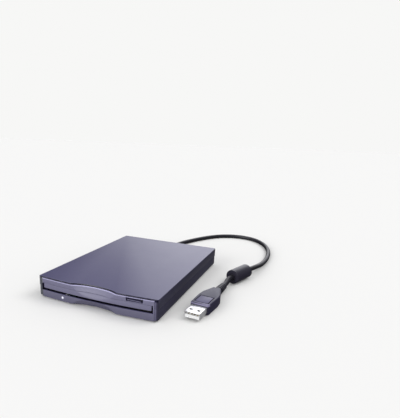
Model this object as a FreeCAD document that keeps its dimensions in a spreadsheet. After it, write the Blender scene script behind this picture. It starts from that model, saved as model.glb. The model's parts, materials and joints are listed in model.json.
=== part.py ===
"""External floppy disk drive: slim two-part case, bowed front bezel with a
sprung slot door and an eject button, the whole 3.5 inch mechanism inside, and
a fixed USB lead with a ferrite bead and a type A plug.

Millimetres, +Z up.  The origin lies under the middle of the case, on the
surface that the drive stands on.  -Y is the front and +X the right-hand side
seen from the front.  At rest the drive is empty: holder up, slide latched
back, door closed, heads apart and the carriage on track zero.
"""

import FreeCAD, Part
import math
import os
import re

import Sketcher

Vector = FreeCAD.Vector
Rotation = FreeCAD.Rotation

# Driving dimensions, one cell each.
SIZES = {
    # case
    "case_wide": 104.0,        # over the sides
    "case_deep": 142.0,        # middle of the bowed front to the back
    "case_tall": 17.5,         # over the feet
    "foot_tall": 1.0,          # feet below the case
    "bow": 2.6,                # how far the middle of the front stands forward
    "wall": 1.8,               # side and back walls
    "floor_thick": 1.5,
    "roof_thick": 1.5,
    "corner_round": 1.5,       # vertical corners, seen from above
    "belly_round": 1.4,        # lower edge of the case
    "roof_round": 0.5,         # upper edge of the case
    "parting": 10.0,           # height of the joint between the shells
    "reveal": 0.3,             # how far the lower shell stands in under the upper
    "tongue_tall": 1.0,
    "tongue_thick": 0.7,
    "tongue_gap": 0.15,
    "fit_gap": 0.2,            # between mouldings that fit into each other
    "root": 0.5,               # how far posts and ears are sunk into their wall
    "lip_lead": 1.3,           # hollow of the roof, ahead of the back of the bezel
    # bezel
    "cheek": 3.1,              # side of the case beside the bezel
    "bezel_top": 16.2,
    "bezel_deep": 7.0,         # from the middle of the front to its back edge
    "bezel_wall": 1.2,
    "lip_gap": 0.7,            # shadow gap between bezel and roof
    "slot_margin": 0.9,        # bezel beside the slot
    "slot_past": 1.5,          # slot, behind the axis of the hinge
    "slot_low": 6.5,
    "slot_top": 12.4,
    "scoop_wide": 42.0,        # long axis of the finger scoop
    "scoop_round": 12.4,       # short axis of the finger scoop
    "scoop_deep": 4.7,
    "scoop_low": 9.0,          # where the upper scoop runs out
    "belly_scoop_deep": 4.0,
    "belly_scoop_top": 7.0,    # where the lower scoop runs out
    # door
    "door_margin": 1.3,        # slot beside the door
    "door_low": 8.4,
    "door_gap": 0.2,           # between door and the edge above it
    "door_thick": 1.2,
    "door_inset": 0.1,
    "arm_thick": 1.3,
    "arm_low": 1.8,            # arm above the lower edge of the door
    "arm_tip": 0.35,
    "arm_bend_back": 0.1,
    "arm_bend_drop": 1.7,
    "arm_room_front": 1.25,    # recess in the bezel round each arm
    "arm_room_back": 2.0,
    "arm_room_low": 0.1,
    "arm_room_side": 0.3,
    "ear_reach": 1.3,
    "hinge_inset": 4.0,        # axis behind the middle of the front
    "hinge_z": 15.2,
    "hinge_boss": 0.9,
    "hinge_pin": 0.45,
    "hinge_pin_long": 1.5,
    "pin_spare": 0.3,          # pin hole beyond the end of the pin
    "pin_play": 0.05,          # radial play of a pin in its hole
    "door_spring_long": 0.9,
    "door_spring_wire": 0.3,
    "door_spring_reach": 2.2,
    # button and lamp
    "button_in": 12.9,         # middle of the button from the end of the door
    "button_wide": 12.5,
    "button_low": 13.1,
    "button_top": 15.4,
    "button_inset": 1.8,       # face behind the middle of the front
    "button_long": 4.2,
    "tab_seat": 1.6,           # seat of the tab behind the face
    "button_gap": 0.15,
    "button_shadow": 0.35,     # wider gap above and to the right
    "button_round": 0.4,
    "lens_x": -28.0,
    "lens_z": 4.0,
    "lens_radius": 0.9,
    "lens_inset": 0.5,
    "lens_long": 4.6,
    "collar_long": 1.7,
    "collar_over": 0.3,        # collar over the stem
    "led_half": 1.0,
    "led_gap": 0.3,
    "led_long": 2.2,
    "led_tall": 0.9,
    # feet and case screws
    "foot_radius": 4.0,
    "foot_in_x": 10.0,         # from the side of the case
    "foot_in_y": 14.0,         # from the front and the back
    "foot_seat": 0.5,
    "post_in_x": 4.2,          # from the inside of the side wall
    "post_in_y": 6.2,          # from the inside of the back wall
    "post_radius": 2.6,
    "screw_radius": 0.95,
    "screw_head": 1.9,
    "screw_head_tall": 1.2,
    "screw_clear": 1.1,
    "head_seat": 0.3,          # floor left over the head of a screw
    "boss_spare": 0.3,
    "tip_clear": 1.5,
    "tip_out": 0.1,
    "cross_reach": 1.1,
    "cross_half": 0.2,
    "cross_deep": 0.6,
    "anchor_in": 8.0,          # from the side of the tray
    "anchor_front_y": 23.6,
    "anchor_back_y": 103.6,
    # chassis
    "tray_clear": 2.2,         # between the tray and the side walls
    "tray_inset": 7.4,         # front edge of the tray behind the front of the case
    "chassis_back": 121.6,
    "chassis_low": 4.6,
    "chassis_top": 14.2,
    "sheet": 0.8,
    "cover_thick": 0.6,
    "cover_front": 5.6,
    "notch_past": 1.3,         # notch behind the front of the slide
    "cover_eye": 11.0,
    "cover_head": 1.3,
    "cover_head_tall": 0.6,
    "cover_shank": 0.6,
    "cover_slot_half": 0.15,
    "cover_slot_reach": 0.9,
    "ledge_in": 3.5,           # from the side of the tray
    "ledge_half": 2.5,
    "ledge_wide": 6.0,
    "thread_hole": 0.65,
    "ledge_front_y": 95.6,
    "ledge_back_y": 114.6,
    "switch_x": 31.0,
    "switch_y": 11.6,
    "switch_half": 1.5,
    "switch_tall": 1.4,
    "switch_pitch": 6.0,
    "plunger_radius": 0.6,
    "plunger_tall": 2.5,
    "prop_radius": 1.6,        # posts under the boards
    "prop_left": -22.0,
    "prop_right": 24.0,
    "prop_front_y": 93.6,
    "prop_back_y": 113.6,
    "prop_inset": 2.0,
    "tongue_front": 0.4,     # tongue of the motor board for the lamp
    "tongue_root": 15.0,       # where the tongues leave the round board
    "tab_half": 2.0,           # upright tab of the guide rod
    "screw_tab_half": 2.6,
    "window_low": 7.0,         # openings in the back wall of the tray
    "window_high": 12.0,
    "board_foot": 1.5,
    "board_low": 2.8,
    "board_thick": 0.8,
    # spindle
    "hub_y": 46.1,
    "motor_hole": 30.0,
    "motor_board_radius": 34.0,
    "dish_radius": 28.0,
    "bearing_radius": 3.3,
    "dish_top": 5.9,
    "dish_sheet": 0.8,
    "table_radius": 12.0,
    "table_top": 6.4,
    "shaft_radius": 1.5,
    "shaft_top": 8.0,
    "magnet_wide": 4.2,
    "chuck_in": 2.5,           # chuck magnet inside the edge of the table
    "chuck_thick": 0.4,
    "chuck_bore": 4.5,
    "pin_in": 1.3,             # drive pin inside the edge of the table
    "drive_pin_radius": 0.9,
    "drive_pin_tall": 1.2,
    "coil_count": 9,
    "coil_inner": 15.0,
    "coil_outer": 24.5,
    "coil_inner_half": 3.2,
    "coil_outer_half": 4.9,
    "coil_eye_inner": 17.5,
    "coil_eye_outer": 22.0,
    "coil_eye_inner_half": 1.2,
    "coil_eye_outer_half": 2.0,
    "coil_tall": 0.7,
    # cartridge holder
    "holder_play": 0.3,        # between holder and slide
    "holder_notch": 3.5,       # lower lips cut short at the back
    "arm_slot_half": 8.0,
    "arm_slot_front": 67.6,
    "holder_sheet": 0.4,
    "holder_side": 0.5,
    "holder_low": 7.8,
    "holder_top": 12.9,
    "holder_front": 4.9,
    "lip_front": 1.1,
    "lip_wide": 7.5,
    "holder_back": 95.6,
    "holder_drop": 2.0,
    "runner_radius": 0.8,
    "runner_z": 10.4,
    "runner_front_y": 17.6,
    "runner_back_y": 81.6,
    "runner_out": 1.9,
    "runner_play": 0.1,
    # eject slide
    "slide_travel": 4.5,
    "slide_low": 6.6,
    "slide_floor": 13.3,
    "slide_top": 13.9,
    "slide_side": 0.6,
    "slide_play": 0.3,         # between slide and tray
    "lever_room": 3.9,         # rear opening of the slide, from its side
    "lever_room_right": 12.0,
    "lever_room_front": 59.6,
    "slide_front": 9.4,
    "slide_back": 87.6,
    "spring_x": 16.0,
    "spring_z": 13.6,
    "spring_radius": 0.45,
    "spring_front": 18.6,
    "spring_long": 34.05,
    "spring_wire": 0.3,
    "spring_eye": 0.35,
    "tab_low": 15.1,
    "tab_top": 15.6,
    "tab_wide": 6.0,
    # shutter lever
    "lever_in": 10.0,          # pivot from the side of the holder
    "lever_y": 87.6,
    "lever_reach": 26.0,
    "lever_rest": -50.0,
    "lever_thick": 0.5,
    "lever_pin": 1.0,
    "lever_lift": 0.05,        # lever over the holder
    "lever_half": 1.6,
    "lever_boss": 2.6,
    "lever_end": 1.9,
    "lever_pin_drop": 3.9,
    "track_play": 0.3,
    "track_sweep": 68.0,
    "rivet_radius": 1.0,
    "rivet_head": 1.8,
    "rivet_head_tall": 0.4,
    "lever_coil_inner": 2.1,
    "lever_coil_outer": 2.5,
    "lever_leg_long": 3.8,
    "lever_leg_from": 2.2,
    # head carriage
    "rail_x": 14.0,
    "rail_z": 8.0,
    "rail_radius": 1.0,
    "rail_front": 93.0,
    "bush_radius": 2.1,
    "carriage_front": 108.6,
    "carriage_back": 117.6,
    "carriage_low": 6.2,
    "frame_thick": 1.2,
    "frame_left": -12.0,
    "lower_arm_half": 4.0,
    "lower_arm_thick": 0.8,
    "ear_inner": 6.2,
    "ear_outer": 7.4,
    "ear_half": 2.0,
    "head_half_x": 2.5,
    "head_half_y": 2.0,
    "head_tall": 0.8,
    "arm_wide": 5.0,
    "arm_nose": 3.0,
    "arm_sheet": 0.6,
    "arm_lift": 0.3,
    "hub_over": 0.8,           # hub of the arm over its pin
    "flex_left": -9.0,
    "flex_right": -2.0,
    "flex_thick": 0.2,
    "flex_low": 0.5,           # strip under the carriage
    "flag_z": 7.1,
    "sensor_x": 22.0,
    "head_y": 85.6,
    "arm_pivot_y": 113.6,
    "arm_pivot_z": 12.0,
    "arm_pin": 0.8,
    # stepper
    "screw_x": -24.0,
    "screw_z": 9.0,
    "screw_shaft": 0.9,
    "stepper_radius": 4.4,
    "stepper_front": 109.6,
    "flange_thick": 0.6,
    "flange_half": 7.0,
    "bearing_ring": 1.8,
    # rear board
    "logic_clear": 4.0,        # between the board and the screws of the tray
    "logic_front": 85.6,
    "logic_back": 119.6,
    "chip_tall": 0.8,
    "rear_board_gap": 0.6,     # from the back wall
    "rear_board_deep": 9.0,
    "rear_board_left": -30.0,
    "rear_board_right": 38.0,
    "socket_half": 13.0,
    "socket_tall": 0.9,
    "ribbon_half": 12.0,
    "ribbon_front": 117.1,
    "ribbon_in": 1.6,
    "ribbon_thick": 0.2,
    # lead
    "cord_radius": 2.3,
    "gland_x": -8.0,
    "gland_z": 7.6,
    "gland_out": 6.0,
    "gland_rim": 1.3,          # collar over the lead at its root
    "gland_tip": 0.6,
    "gland_flange": 1.2,
    "gland_wide": 8.0,
    "bead_radius": 6.3,
    "bead_long": 23.4,
    "bead_round": 1.4,
    "plug_x": 72.9,
    "plug_y": -42.0,
    "plug_turn": -5.5,
    "plug_long": 36.0,
    "plug_wide": 15.6,
    "plug_low": 0.2,
    "plug_tall": 8.0,
    "plug_round": 0.9,
    "plug_shoulder_round": 2.2,
    "plug_neck": 3.3,          # half width where the relief begins
    "plug_waist": 0.3,         # how far the grip swells at the middle
    "plug_taper": 0.66,        # where the taper to the relief begins
    "plug_end_over": 0.7,
    "plug_end_long": 2.0,
    "plug_step_long": 1.6,     # narrower nose in front of the grip
    "plug_step_in": 0.5,
    "panel_half": 6.0,         # grip panel inside its moat
    "panel_front": 2.8,
    "panel_back": 15.6,
    "moat_wide": 0.8,
    "moat_deep": 0.7,
    "relief_long": 16.0,
    "relief_core": 0.35,       # sleeve of the relief over the lead
    "relief_rib": 1.3,         # first rib over the lead
    "relief_count": 5,
    "rib_step": 0.15,
    "rib_long": 2.0,
    "plug_shell_long": 12.6,
    "plug_shell_wide": 12.0,
    "plug_shell_tall": 4.5,
    "plug_shell_sheet": 0.35,
    "latch_inner": 1.9,        # windows of the shell
    "latch_outer": 4.3,
    "latch_front": 8.6,
    "latch_back": 6.2,
    "insert_in": 0.4,
    "insert_drop": 0.1,
    "insert_back": 1.4,
    "contact_in": 1.4,
    "contact_half": 0.5,
    "contact_rise": 0.1,
}

# Places that follow from the sizes, written as formulas of them.
PLACES = {
    "side": "case_wide / 2",
    "back": "case_deep / 2",
    "front": "-case_deep / 2",
    "inside_x": "side - wall",
    "inside_y": "back - wall",
    "floor_top": "foot_tall + floor_thick",
    "roof_low": "case_tall - roof_thick",
    "bow_radius": "(side^2 + bow^2) / (2 * bow)",
    "bow_y": "front + bow_radius",
    "chassis_front": "front + tray_inset",
    "bezel_side": "side - cheek",
    "slot_side": "bezel_side - slot_margin",
    "bezel_back": "front + bezel_deep",
    "scoop_slope": "scoop_deep / (case_tall - scoop_low)",
    "belly_slope": "belly_scoop_deep / (belly_scoop_top - foot_tall)",
    "door_side": "slot_side - door_margin",
    "door_top": "slot_top - door_gap",
    "hinge_y": "front + hinge_inset",
    "button_x": "door_side - button_in",
    "button_front": "front + button_inset",
    "button_back": "button_front + button_long",
    "lens_front": "front + lens_inset",
    "lens_back": "lens_front + lens_long",
    "foot_x": "side - foot_in_x",
    "foot_y": "back - foot_in_y",
    "post_x": "inside_x - post_in_x",
    "post_y": "inside_y - post_in_y",
    "seat_top": "floor_top + head_seat",
    "tray_side": "inside_x - tray_clear",
    "tray_inside": "tray_side - sheet",
    "tray_floor": "chassis_low + sheet",
    "cover_top": "chassis_top + cover_thick",
    "board_top": "board_low + board_thick",
    "anchor_x": "tray_side - anchor_in",
    "ledge_x": "tray_side - ledge_in",
    "logic_half": "anchor_x - logic_clear",
    "slide_x": "tray_inside - slide_play",
    "holder_x": "slide_x - slide_side - holder_play",
    "lever_x": "lever_in - holder_x",
    "rear_board_back": "inside_y - rear_board_gap",
    "rear_board_front": "rear_board_back - rear_board_deep",
    "gland_end": "back + gland_out",
    "plug_mid": "plug_low + plug_tall / 2",
    "gland_low": "2 * gland_z - parting",
}

# Sizes that are measured back from the front edge of the tray.
FROM_TRAY = {
    "chassis_back", "cover_front", "ledge_front_y", "ledge_back_y",
    "switch_y", "prop_front_y", "prop_back_y", "tongue_front", "hub_y", "holder_front",
    "lip_front", "holder_back", "runner_front_y", "runner_back_y", "arm_slot_front",
    "slide_front", "slide_back", "spring_front", "lever_room_front", "lever_y", "rail_front",
    "carriage_front", "carriage_back", "head_y", "arm_pivot_y", "stepper_front",
    "ribbon_front", "logic_front", "logic_back", "anchor_front_y", "anchor_back_y",
}

# Openings punched into the sheets, by left, right, front and back edge.  The
# last two are measured back from the front edge of the tray.
PUNCHED = {
    "cover": [(-12, 12, 73.6, 115.6), ("ledge_wide - tray_side", -18, 57.6, 71.6),
              (18, "tray_side - ledge_wide", 83.6, 107.6)],
    "holder": [(-30, -12, 19.6, 41.6), (12, 30, 19.6, 41.6), (18, 36, 67.6, 85.6)],
    "slide": [(-40, -6, 13.6, 53.6), (6, 26, 13.6, 53.6), (30, 40, 23.6, 55.6)],
}
# Openings in the back wall of the tray, by left and right edge.
REAR_WINDOWS = [(-40, -33), (-6, 8), (24, 40)]
# Pressed feet of the tray: across, and back from the hub or from the tray's front.
HUB_FEET = [(-22.6, 22.6), (22.6, 22.6), (-31.4, -6.0), (31.4, -6.0)]
REAR_FEET = [(-31, 88.6), (31, 88.6)]
# Chips by centre and size, the second number back from the tray's front.
CHIPS = [(-5, 101.6, 9, 9), (14, 105.6, 6, 5), (-28, 95.6, 7, 5), (22, 95.6, 5, 4)]
CONTACTS = (-3.5, -1.0, 1.0, 3.5)

DOC = FreeCAD.newDocument("FloppyDrive")
SHEET = DOC.addObject("Spreadsheet::Sheet", "Sizes")
TURNS = {
    "x": Rotation(Vector(0, 1, 0), 90),
    "y": Rotation(Vector(1, 0, 0), -90),
    "z": Rotation(),
}
FINISHED = []


# --- the sheet ---------------------------------------------------------------

def fill_sheet():
    """Write every driving dimension as a plain number with an alias."""
    for row, (alias, value) in enumerate(SIZES.items(), start=1):
        SHEET.set("A%d" % row, alias)
        SHEET.set("B%d" % row, str(value))
        SHEET.setAlias("B%d" % row, alias)
    DOC.recompute()


def size(alias):
    """Read one driving dimension from the sheet."""
    return float(SHEET.get(alias))


def formula(text):
    """Spell out places and sizes as references to the sheet."""
    def spell(match):
        word = match.group(0)
        if word in PLACES:
            return "(" + formula(PLACES[word]) + ")"
        if word in FROM_TRAY:
            return "(Sizes.%s + %s)" % (word, formula("chassis_front"))
        if word in SIZES:
            return "Sizes." + word
        return word
    return re.sub(r"[a-z][a-z_]*", spell, str(text))


def bind(thing, prop, text):
    """Bind one property to a formula."""
    thing.setExpression(prop, formula(text))


def minus(text):
    """The mirror image of a formula."""
    return "-(%s)" % text


# --- primitives ----------------------------------------------------------------

def box(name, x, y, z):
    """Block between a low and a high plane on each axis."""
    block = DOC.addObject("Part::Box", name)
    for prop, axis, (low, high) in zip(("Length", "Width", "Height"), "xyz", (x, y, z)):
        bind(block, prop, "(%s) - (%s)" % (high, low))
        bind(block, "Placement.Base." + axis, low)
    return block


def rod(name, axis, start, radius, length):
    """Cylinder that leaves its start point along an axis."""
    bar = DOC.addObject("Part::Cylinder", name)
    bar.Placement = FreeCAD.Placement(Vector(), TURNS[axis])
    bind(bar, "Radius", radius)
    bind(bar, "Height", length)
    for letter, place in zip("xyz", start):
        bind(bar, "Placement.Base." + letter, place)
    return bar


def sleeve(name, axis, start, inner, outer, length):
    """Close-wound coil, seal or bush: a tube that leaves its start point along an axis."""
    full = rod(name, axis, start, outer, length)
    back = [place if letter != axis else "%s - 1" % place for letter, place in zip("xyz", start)]
    return carve(name + "_open", full, [rod(name + "_eye", axis, back, inner, "%s + 2" % length)])


def join(name, pieces):
    """One solid from touching or overlapping pieces."""
    whole = DOC.addObject("Part::MultiFuse", name)
    whole.Shapes = pieces
    whole.Refine = True
    return whole


def carve(name, base, tools):
    """The base without the tools, cut away one after another."""
    for tool in tools:
        rest = DOC.addObject("Part::Cut", name)
        rest.Base = base
        rest.Tool = tool
        rest.Refine = True
        base = rest
    return base


def group(name, pieces):
    """Separate identical solids kept together."""
    flock = DOC.addObject("Part::Compound", name)
    flock.Links = pieces
    return flock


def finish(label, thing):
    """Name a finished sub-part and keep it for the export."""
    thing.Label = label
    FINISHED.append(thing)
    return thing


# --- sketched bodies ---------------------------------------------------------

PLANES = {"XY": "XY_Plane", "XZ": "XZ_Plane", "YZ": "YZ_Plane"}


def rect(left, right, low, high):
    """Rectangle as a loop for a sketch."""
    return [(left, low), (right, low), (right, high), (left, high)]


def wedge(inner, outer, inner_half, outer_half):
    """Trapezium that widens away from the centre."""
    return [(inner, minus(inner_half)), (outer, minus(outer_half)), (outer, outer_half),
            (inner, inner_half)]


def behind(distance):
    """Place behind the front edge of the tray."""
    return "chassis_front + (%s)" % distance


def punched(name):
    """Loops of the openings of one sheet."""
    return [rect(left, right, behind(near_edge), behind(far_edge))
            for left, right, near_edge, far_edge in PUNCHED[name]]


class Moulding:
    """One PartDesign body that grows feature by feature."""

    def __init__(self, label):
        self.body = DOC.addObject("PartDesign::Body", label)
        self.body.Label = label

    def sketch(self, plane, height, loops):
        """Fully bound sketch of polygons and circles on an offset plane."""
        drawing = self.body.newObject("Sketcher::SketchObject", "Sketch")
        for feature in self.body.Origin.OriginFeatures:
            if feature.Role == PLANES[plane]:
                drawing.AttachmentSupport = [(feature, "")]
        drawing.MapMode = "FlatFace"
        bind(drawing, "AttachmentOffset.Base.z", height)
        for loop in loops:
            if isinstance(loop, list):
                self.polygon(drawing, loop)
            else:
                self.circle(drawing, *loop)
        return drawing

    @staticmethod
    def pin_point(drawing, curve, end, point, drawn):
        """Hold one point of a curve at its two formulas, from where it was drawn."""
        for kind, text, start in zip(("DistanceX", "DistanceY"), point, drawn):
            index = drawing.addConstraint(
                Sketcher.Constraint(kind, -1, 1, curve, end, start))
            bind(drawing, "Constraints[%d]" % index, text)

    def polygon(self, drawing, points):
        """Closed run of straight lines."""
        count = len(points)
        first = drawing.GeometryCount
        turns = [2 * math.pi * (k + 0.3) / count for k in range(count)]
        corners = [Vector(50 * math.cos(turn), 50 * math.sin(turn)) for turn in turns]
        for k in range(count):
            drawing.addGeometry(Part.LineSegment(corners[k], corners[(k + 1) % count]), False)
        for k in range(count):
            following = first + (k + 1) % count
            drawing.addConstraint(Sketcher.Constraint("Coincident", first + k, 2, following, 1))
        for k, point in enumerate(points):
            self.pin_point(drawing, first + k, 1, point, corners[k])

    def circle(self, drawing, across, up, radius):
        """Full circle."""
        index = drawing.addGeometry(Part.Circle(Vector(1, 1, 0), Vector(0, 0, 1), 1.0), False)
        self.pin_point(drawing, index, 3, (across, up), (1.0, 1.0))
        held = drawing.addConstraint(Sketcher.Constraint("Radius", index, 1.0))
        bind(drawing, "Constraints[%d]" % held, radius)

    def pad(self, plane, low, high, *loops):
        """Material between two heights above a plane."""
        start = minus(high) if plane == "XZ" else low
        feature = self.body.newObject("PartDesign::Pad", "Pad")
        feature.Profile = self.sketch(plane, start, loops)
        bind(feature, "Length", "(%s) - (%s)" % (high, low))
        self.body.Tip = feature
        return feature

    def pocket(self, plane, low, high, *loops):
        """Material removed between two heights above a plane."""
        start = minus(low) if plane == "XZ" else high
        feature = self.body.newObject("PartDesign::Pocket", "Pocket")
        feature.Profile = self.sketch(plane, start, loops)
        bind(feature, "Length", "(%s) - (%s)" % (high, low))
        self.body.Tip = feature
        return feature

    def round(self, radius, chosen):
        """Fillet on the edges whose middle and direction are chosen."""
        DOC.recompute()
        base = self.body.Tip
        edges = []
        for index, edge in enumerate(self.body.Shape.Edges, start=1):
            ends = (edge.FirstParameter, edge.LastParameter)
            middle = edge.valueAt(sum(ends) / 2)
            along = edge.tangentAt(sum(ends) / 2)
            if chosen(middle, along):
                edges.append("Edge%d" % index)
        feature = self.body.newObject("PartDesign::Fillet", "Round")
        feature.Base = (base, edges)
        bind(feature, "Radius", radius)
        self.body.Tip = feature
        return feature

    def finish(self):
        """Hand the body over as a finished sub-part."""
        return finish(self.body.Label, self.body)

    def bowed_pad(self, low, high, inset="0"):
        """Plan of the case: straight sides and back, both inset, and the bowed front."""
        half = size("case_wide") / 2
        back = size("case_deep") / 2
        bow = size("bow")
        radius = (half ** 2 + bow ** 2) / (2 * bow)
        shoulder = -back + bow
        opening = math.asin(half / radius)
        corners = [Vector(half, shoulder), Vector(half, back), Vector(-half, back),
                   Vector(-half, shoulder)]
        drawing = self.sketch("XY", low, [])
        for start, end in zip(corners, corners[1:]):
            drawing.addGeometry(Part.LineSegment(start, end), False)
        circle = Part.Circle(Vector(0, radius - back, 0), Vector(0, 0, 1), radius)
        drawing.addGeometry(Part.ArcOfCircle(
            circle, 1.5 * math.pi - opening, 1.5 * math.pi + opening), False)
        for first, second in ((0, 1), (1, 2), (2, 3), (3, 0)):
            drawing.addConstraint(Sketcher.Constraint("Coincident", first, 2, second, 1))
        flank, rear = "side - %s" % inset, "back - %s" % inset
        places = [(flank, "front + bow"), (flank, rear), (minus(flank), rear)]
        for curve, place in enumerate(places):
            self.pin_point(drawing, curve, 1, place, corners[curve])
        self.pin_point(drawing, 3, 1, (minus(flank), "front + bow"), corners[3])
        held = drawing.addConstraint(Sketcher.Constraint("Radius", 3, radius))
        bind(drawing, "Constraints[%d]" % held, "bow_radius")
        feature = self.body.newObject("PartDesign::Pad", "Pad")
        feature.Profile = drawing
        bind(feature, "Length", "(%s) - (%s)" % (high, low))
        self.body.Tip = feature


def upright(middle, along):
    """Edges that run along Z."""
    return abs(along.z) > 0.99


def near(value, target):
    """Same coordinate, within a hundredth."""
    return abs(value - target) < 0.01


# --- bowed front with its scoops -----------------------------------------------

def scoop(name, inset):
    """Slanted elliptic cutter of the upper finger scoop, grown by an inset."""
    rim = DOC.addObject("Part::Ellipse", name + "_rim")
    bind(rim, "MajorRadius", "scoop_wide / 2 + %s" % inset)
    bind(rim, "MinorRadius", "scoop_round / 2 + %s" % inset)
    bind(rim, "Placement.Base.y", "front + scoop_deep - scoop_round / 2 + scoop_slope")
    bind(rim, "Placement.Base.z", "case_tall + 1")
    cutter = DOC.addObject("Part::Extrusion", name)
    cutter.Base = rim
    cutter.DirMode = "Custom"
    cutter.Dir = Vector(0, -1, -1)
    cutter.Solid = True
    bind(cutter, "Dir.y", minus("scoop_slope"))
    bind(cutter, "LengthFwd", "(case_tall + 1) * sqrt(1 + scoop_slope^2)")
    return cutter


def belly_scoop(name, inset):
    """The smaller scoop under the front edge."""
    rim = DOC.addObject("Part::Ellipse", name + "_rim")
    bind(rim, "MajorRadius", "scoop_wide / 2 + %s" % inset)
    bind(rim, "MinorRadius", "scoop_round / 2 + %s" % inset)
    bind(rim, "Placement.Base.y", "front + belly_scoop_deep - scoop_round / 2 + belly_slope")
    bind(rim, "Placement.Base.z", "foot_tall - 1")
    cutter = DOC.addObject("Part::Extrusion", name)
    cutter.Base = rim
    cutter.DirMode = "Custom"
    cutter.Dir = Vector(0, -1, 1)
    cutter.Solid = True
    bind(cutter, "Dir.y", minus("belly_slope"))
    bind(cutter, "LengthFwd", "case_tall * sqrt(1 + belly_slope^2)")
    return cutter


def front_block(name, half, low, high, back, inset):
    """Block behind the bowed front, inset from the visible face."""
    slab = box(name + "_slab", (minus(half), half), ("front - 1", back), (low, high))
    drum = rod(name + "_drum", "z", (0, "bow_y", "%s - 1" % low),
               "bow_radius - %s" % inset, "%s - (%s) + 2" % (high, low))
    bowed = DOC.addObject("Part::Common", name + "_bowed")
    bowed.Base = slab
    bowed.Tool = drum
    tools = [scoop(name + "_scoop", inset), belly_scoop(name + "_belly", inset)]
    return carve(name, bowed, tools)


# --- case ------------------------------------------------------------------------

def make_upper_shell():
    """Roof, upper walls, screw posts and the lip over the bezel."""
    shell = Moulding("upper_shell_body")
    shell.bowed_pad("parting", "case_tall")
    shell.round("corner_round", upright)
    roof = size("case_tall")
    shell.round("roof_round", lambda middle, along: near(middle.z, roof))
    shell.pocket("XY", "parting", "bezel_top + lip_gap",
                 rect("-bezel_side - fit_gap", "bezel_side + fit_gap", "front - 1",
                      "bezel_back + fit_gap"))
    shell.pocket("XY", "parting", "roof_low",
                 rect("-inside_x", "inside_x", "bezel_back - lip_lead", "inside_y"))
    reach = "(tongue_thick + tongue_gap)"
    shell.pocket("XY", "parting", "parting + tongue_tall + tongue_gap",
                 rect("-inside_x - %s" % reach, "inside_x + %s" % reach, "bezel_back - lip_lead",
                      "inside_y + %s" % reach))
    post_low = "parting + fit_gap"
    posts = [("-post_x", "post_y", "post_radius"), ("post_x", "post_y", "post_radius")]
    holes = [(x, y, "screw_radius + pin_play") for x, y, radius in posts]
    shell.pad("XY", post_low, "roof_low + 0.01", *posts)
    shell.pocket("XY", post_low, "roof_low - 1", *holes)
    cut = carve("upper_shell_cut", shell.body, [scoop("roof_scoop", "0")])
    return finish("upper_shell", cut)


def make_lower_shell():
    """Floor, lower walls, tongue, bosses and the seats of the feet."""
    shell = Moulding("lower_shell")
    shell.bowed_pad("foot_tall", "parting", "reveal")
    shell.round("corner_round", upright)
    base = size("foot_tall")
    shell.round("belly_round", lambda middle, along: near(middle.z, base))
    shell.pocket("XY", "floor_top", "parting",
                 rect("-inside_x", "inside_x", "bezel_back + fit_gap", "inside_y"))
    shell.pocket("XY", "foot_tall", "parting",
                 rect("-bezel_side - fit_gap", "bezel_side + fit_gap", "front - 1",
                      "bezel_back + fit_gap + 0.01"))
    tongue_x = "inside_x + tongue_thick"
    shell.pad("XY", "parting - root", "parting + tongue_tall",
              [(minus(tongue_x), "bezel_back + fit_gap"), ("-inside_x", "bezel_back + fit_gap"),
               ("-inside_x", "inside_y"), ("inside_x", "inside_y"),
               ("inside_x", "bezel_back + fit_gap"), (tongue_x, "bezel_back + fit_gap"),
               (tongue_x, "inside_y + tongue_thick"),
               (minus(tongue_x), "inside_y + tongue_thick")])
    corners = [(x, y) for x in ("-post_x", "post_x") for y in ("post_y",)]
    anchors = [(x, y) for x in ("-anchor_x", "anchor_x")
               for y in ("anchor_front_y", "anchor_back_y")]
    rests = [(x, y) for x in ("-foot_x", "foot_x") for y in ("-foot_y", "foot_y")]
    shell.pad("XY", "floor_top - root", "parting",
              *[(x, y, "post_radius + boss_spare") for x, y in corners])
    shell.pad("XY", "floor_top - root", "chassis_low",
              *[(x, y, "post_radius") for x, y in anchors])
    shell.pocket("XY", "foot_tall - 1", "parting + 1",
                 *[(x, y, "screw_clear") for x, y in corners + anchors])
    shell.pocket("XY", "foot_tall - 1", "seat_top",
                 *[(x, y, "screw_head + fit_gap") for x, y in corners + anchors])
    shell.pocket("XY", "foot_tall - 1", "foot_tall + foot_seat",
                 *[(x, y, "foot_radius + fit_gap") for x, y in rests])
    shell.pad("XY", "floor_top - root", "board_low",
              *[(x, y, "prop_radius") for x in ("prop_left", "prop_right")
                for y in ("rear_board_front + prop_inset", "rear_board_back - prop_inset",
                          "prop_front_y", "prop_back_y")])
    shell.pocket("XZ", "inside_y - 1", "back + 1",
                 rect("gland_x - gland_wide / 2", "gland_x + gland_wide / 2",
                      "gland_low", "parting + tongue_tall + 1"))
    return shell.finish()


def make_feet():
    """Four round rubber pads let into the floor."""
    pads = [rod("foot", "z", (x, y, 0), "foot_radius", "foot_tall + foot_seat")
            for x in ("-foot_x", "foot_x") for y in ("-foot_y", "foot_y")]
    return finish("rubber_feet", group("feet", pads))


def make_screw(name, axis_x, axis_y, head_low, tip):
    """Pan head with a cross slot on a plain shank, driven from below."""
    head = rod(name + "_head", "z", (axis_x, axis_y, head_low), "screw_head", "screw_head_tall")
    shank = rod(name + "_shank", "z", (axis_x, axis_y, head_low), "screw_radius",
                "(%s) - (%s)" % (tip, head_low))
    slots = [box(name + "_slot", ("%s - %s" % (axis_x, wide), "%s + %s" % (axis_x, wide)),
                 ("%s - %s" % (axis_y, deep), "%s + %s" % (axis_y, deep)),
                 ("%s - 1" % head_low, "%s + cross_deep" % head_low))
             for wide, deep in (("cross_reach", "cross_half"), ("cross_half", "cross_reach"))]
    return carve(name, join(name + "_body", [head, shank]), slots)


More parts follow.
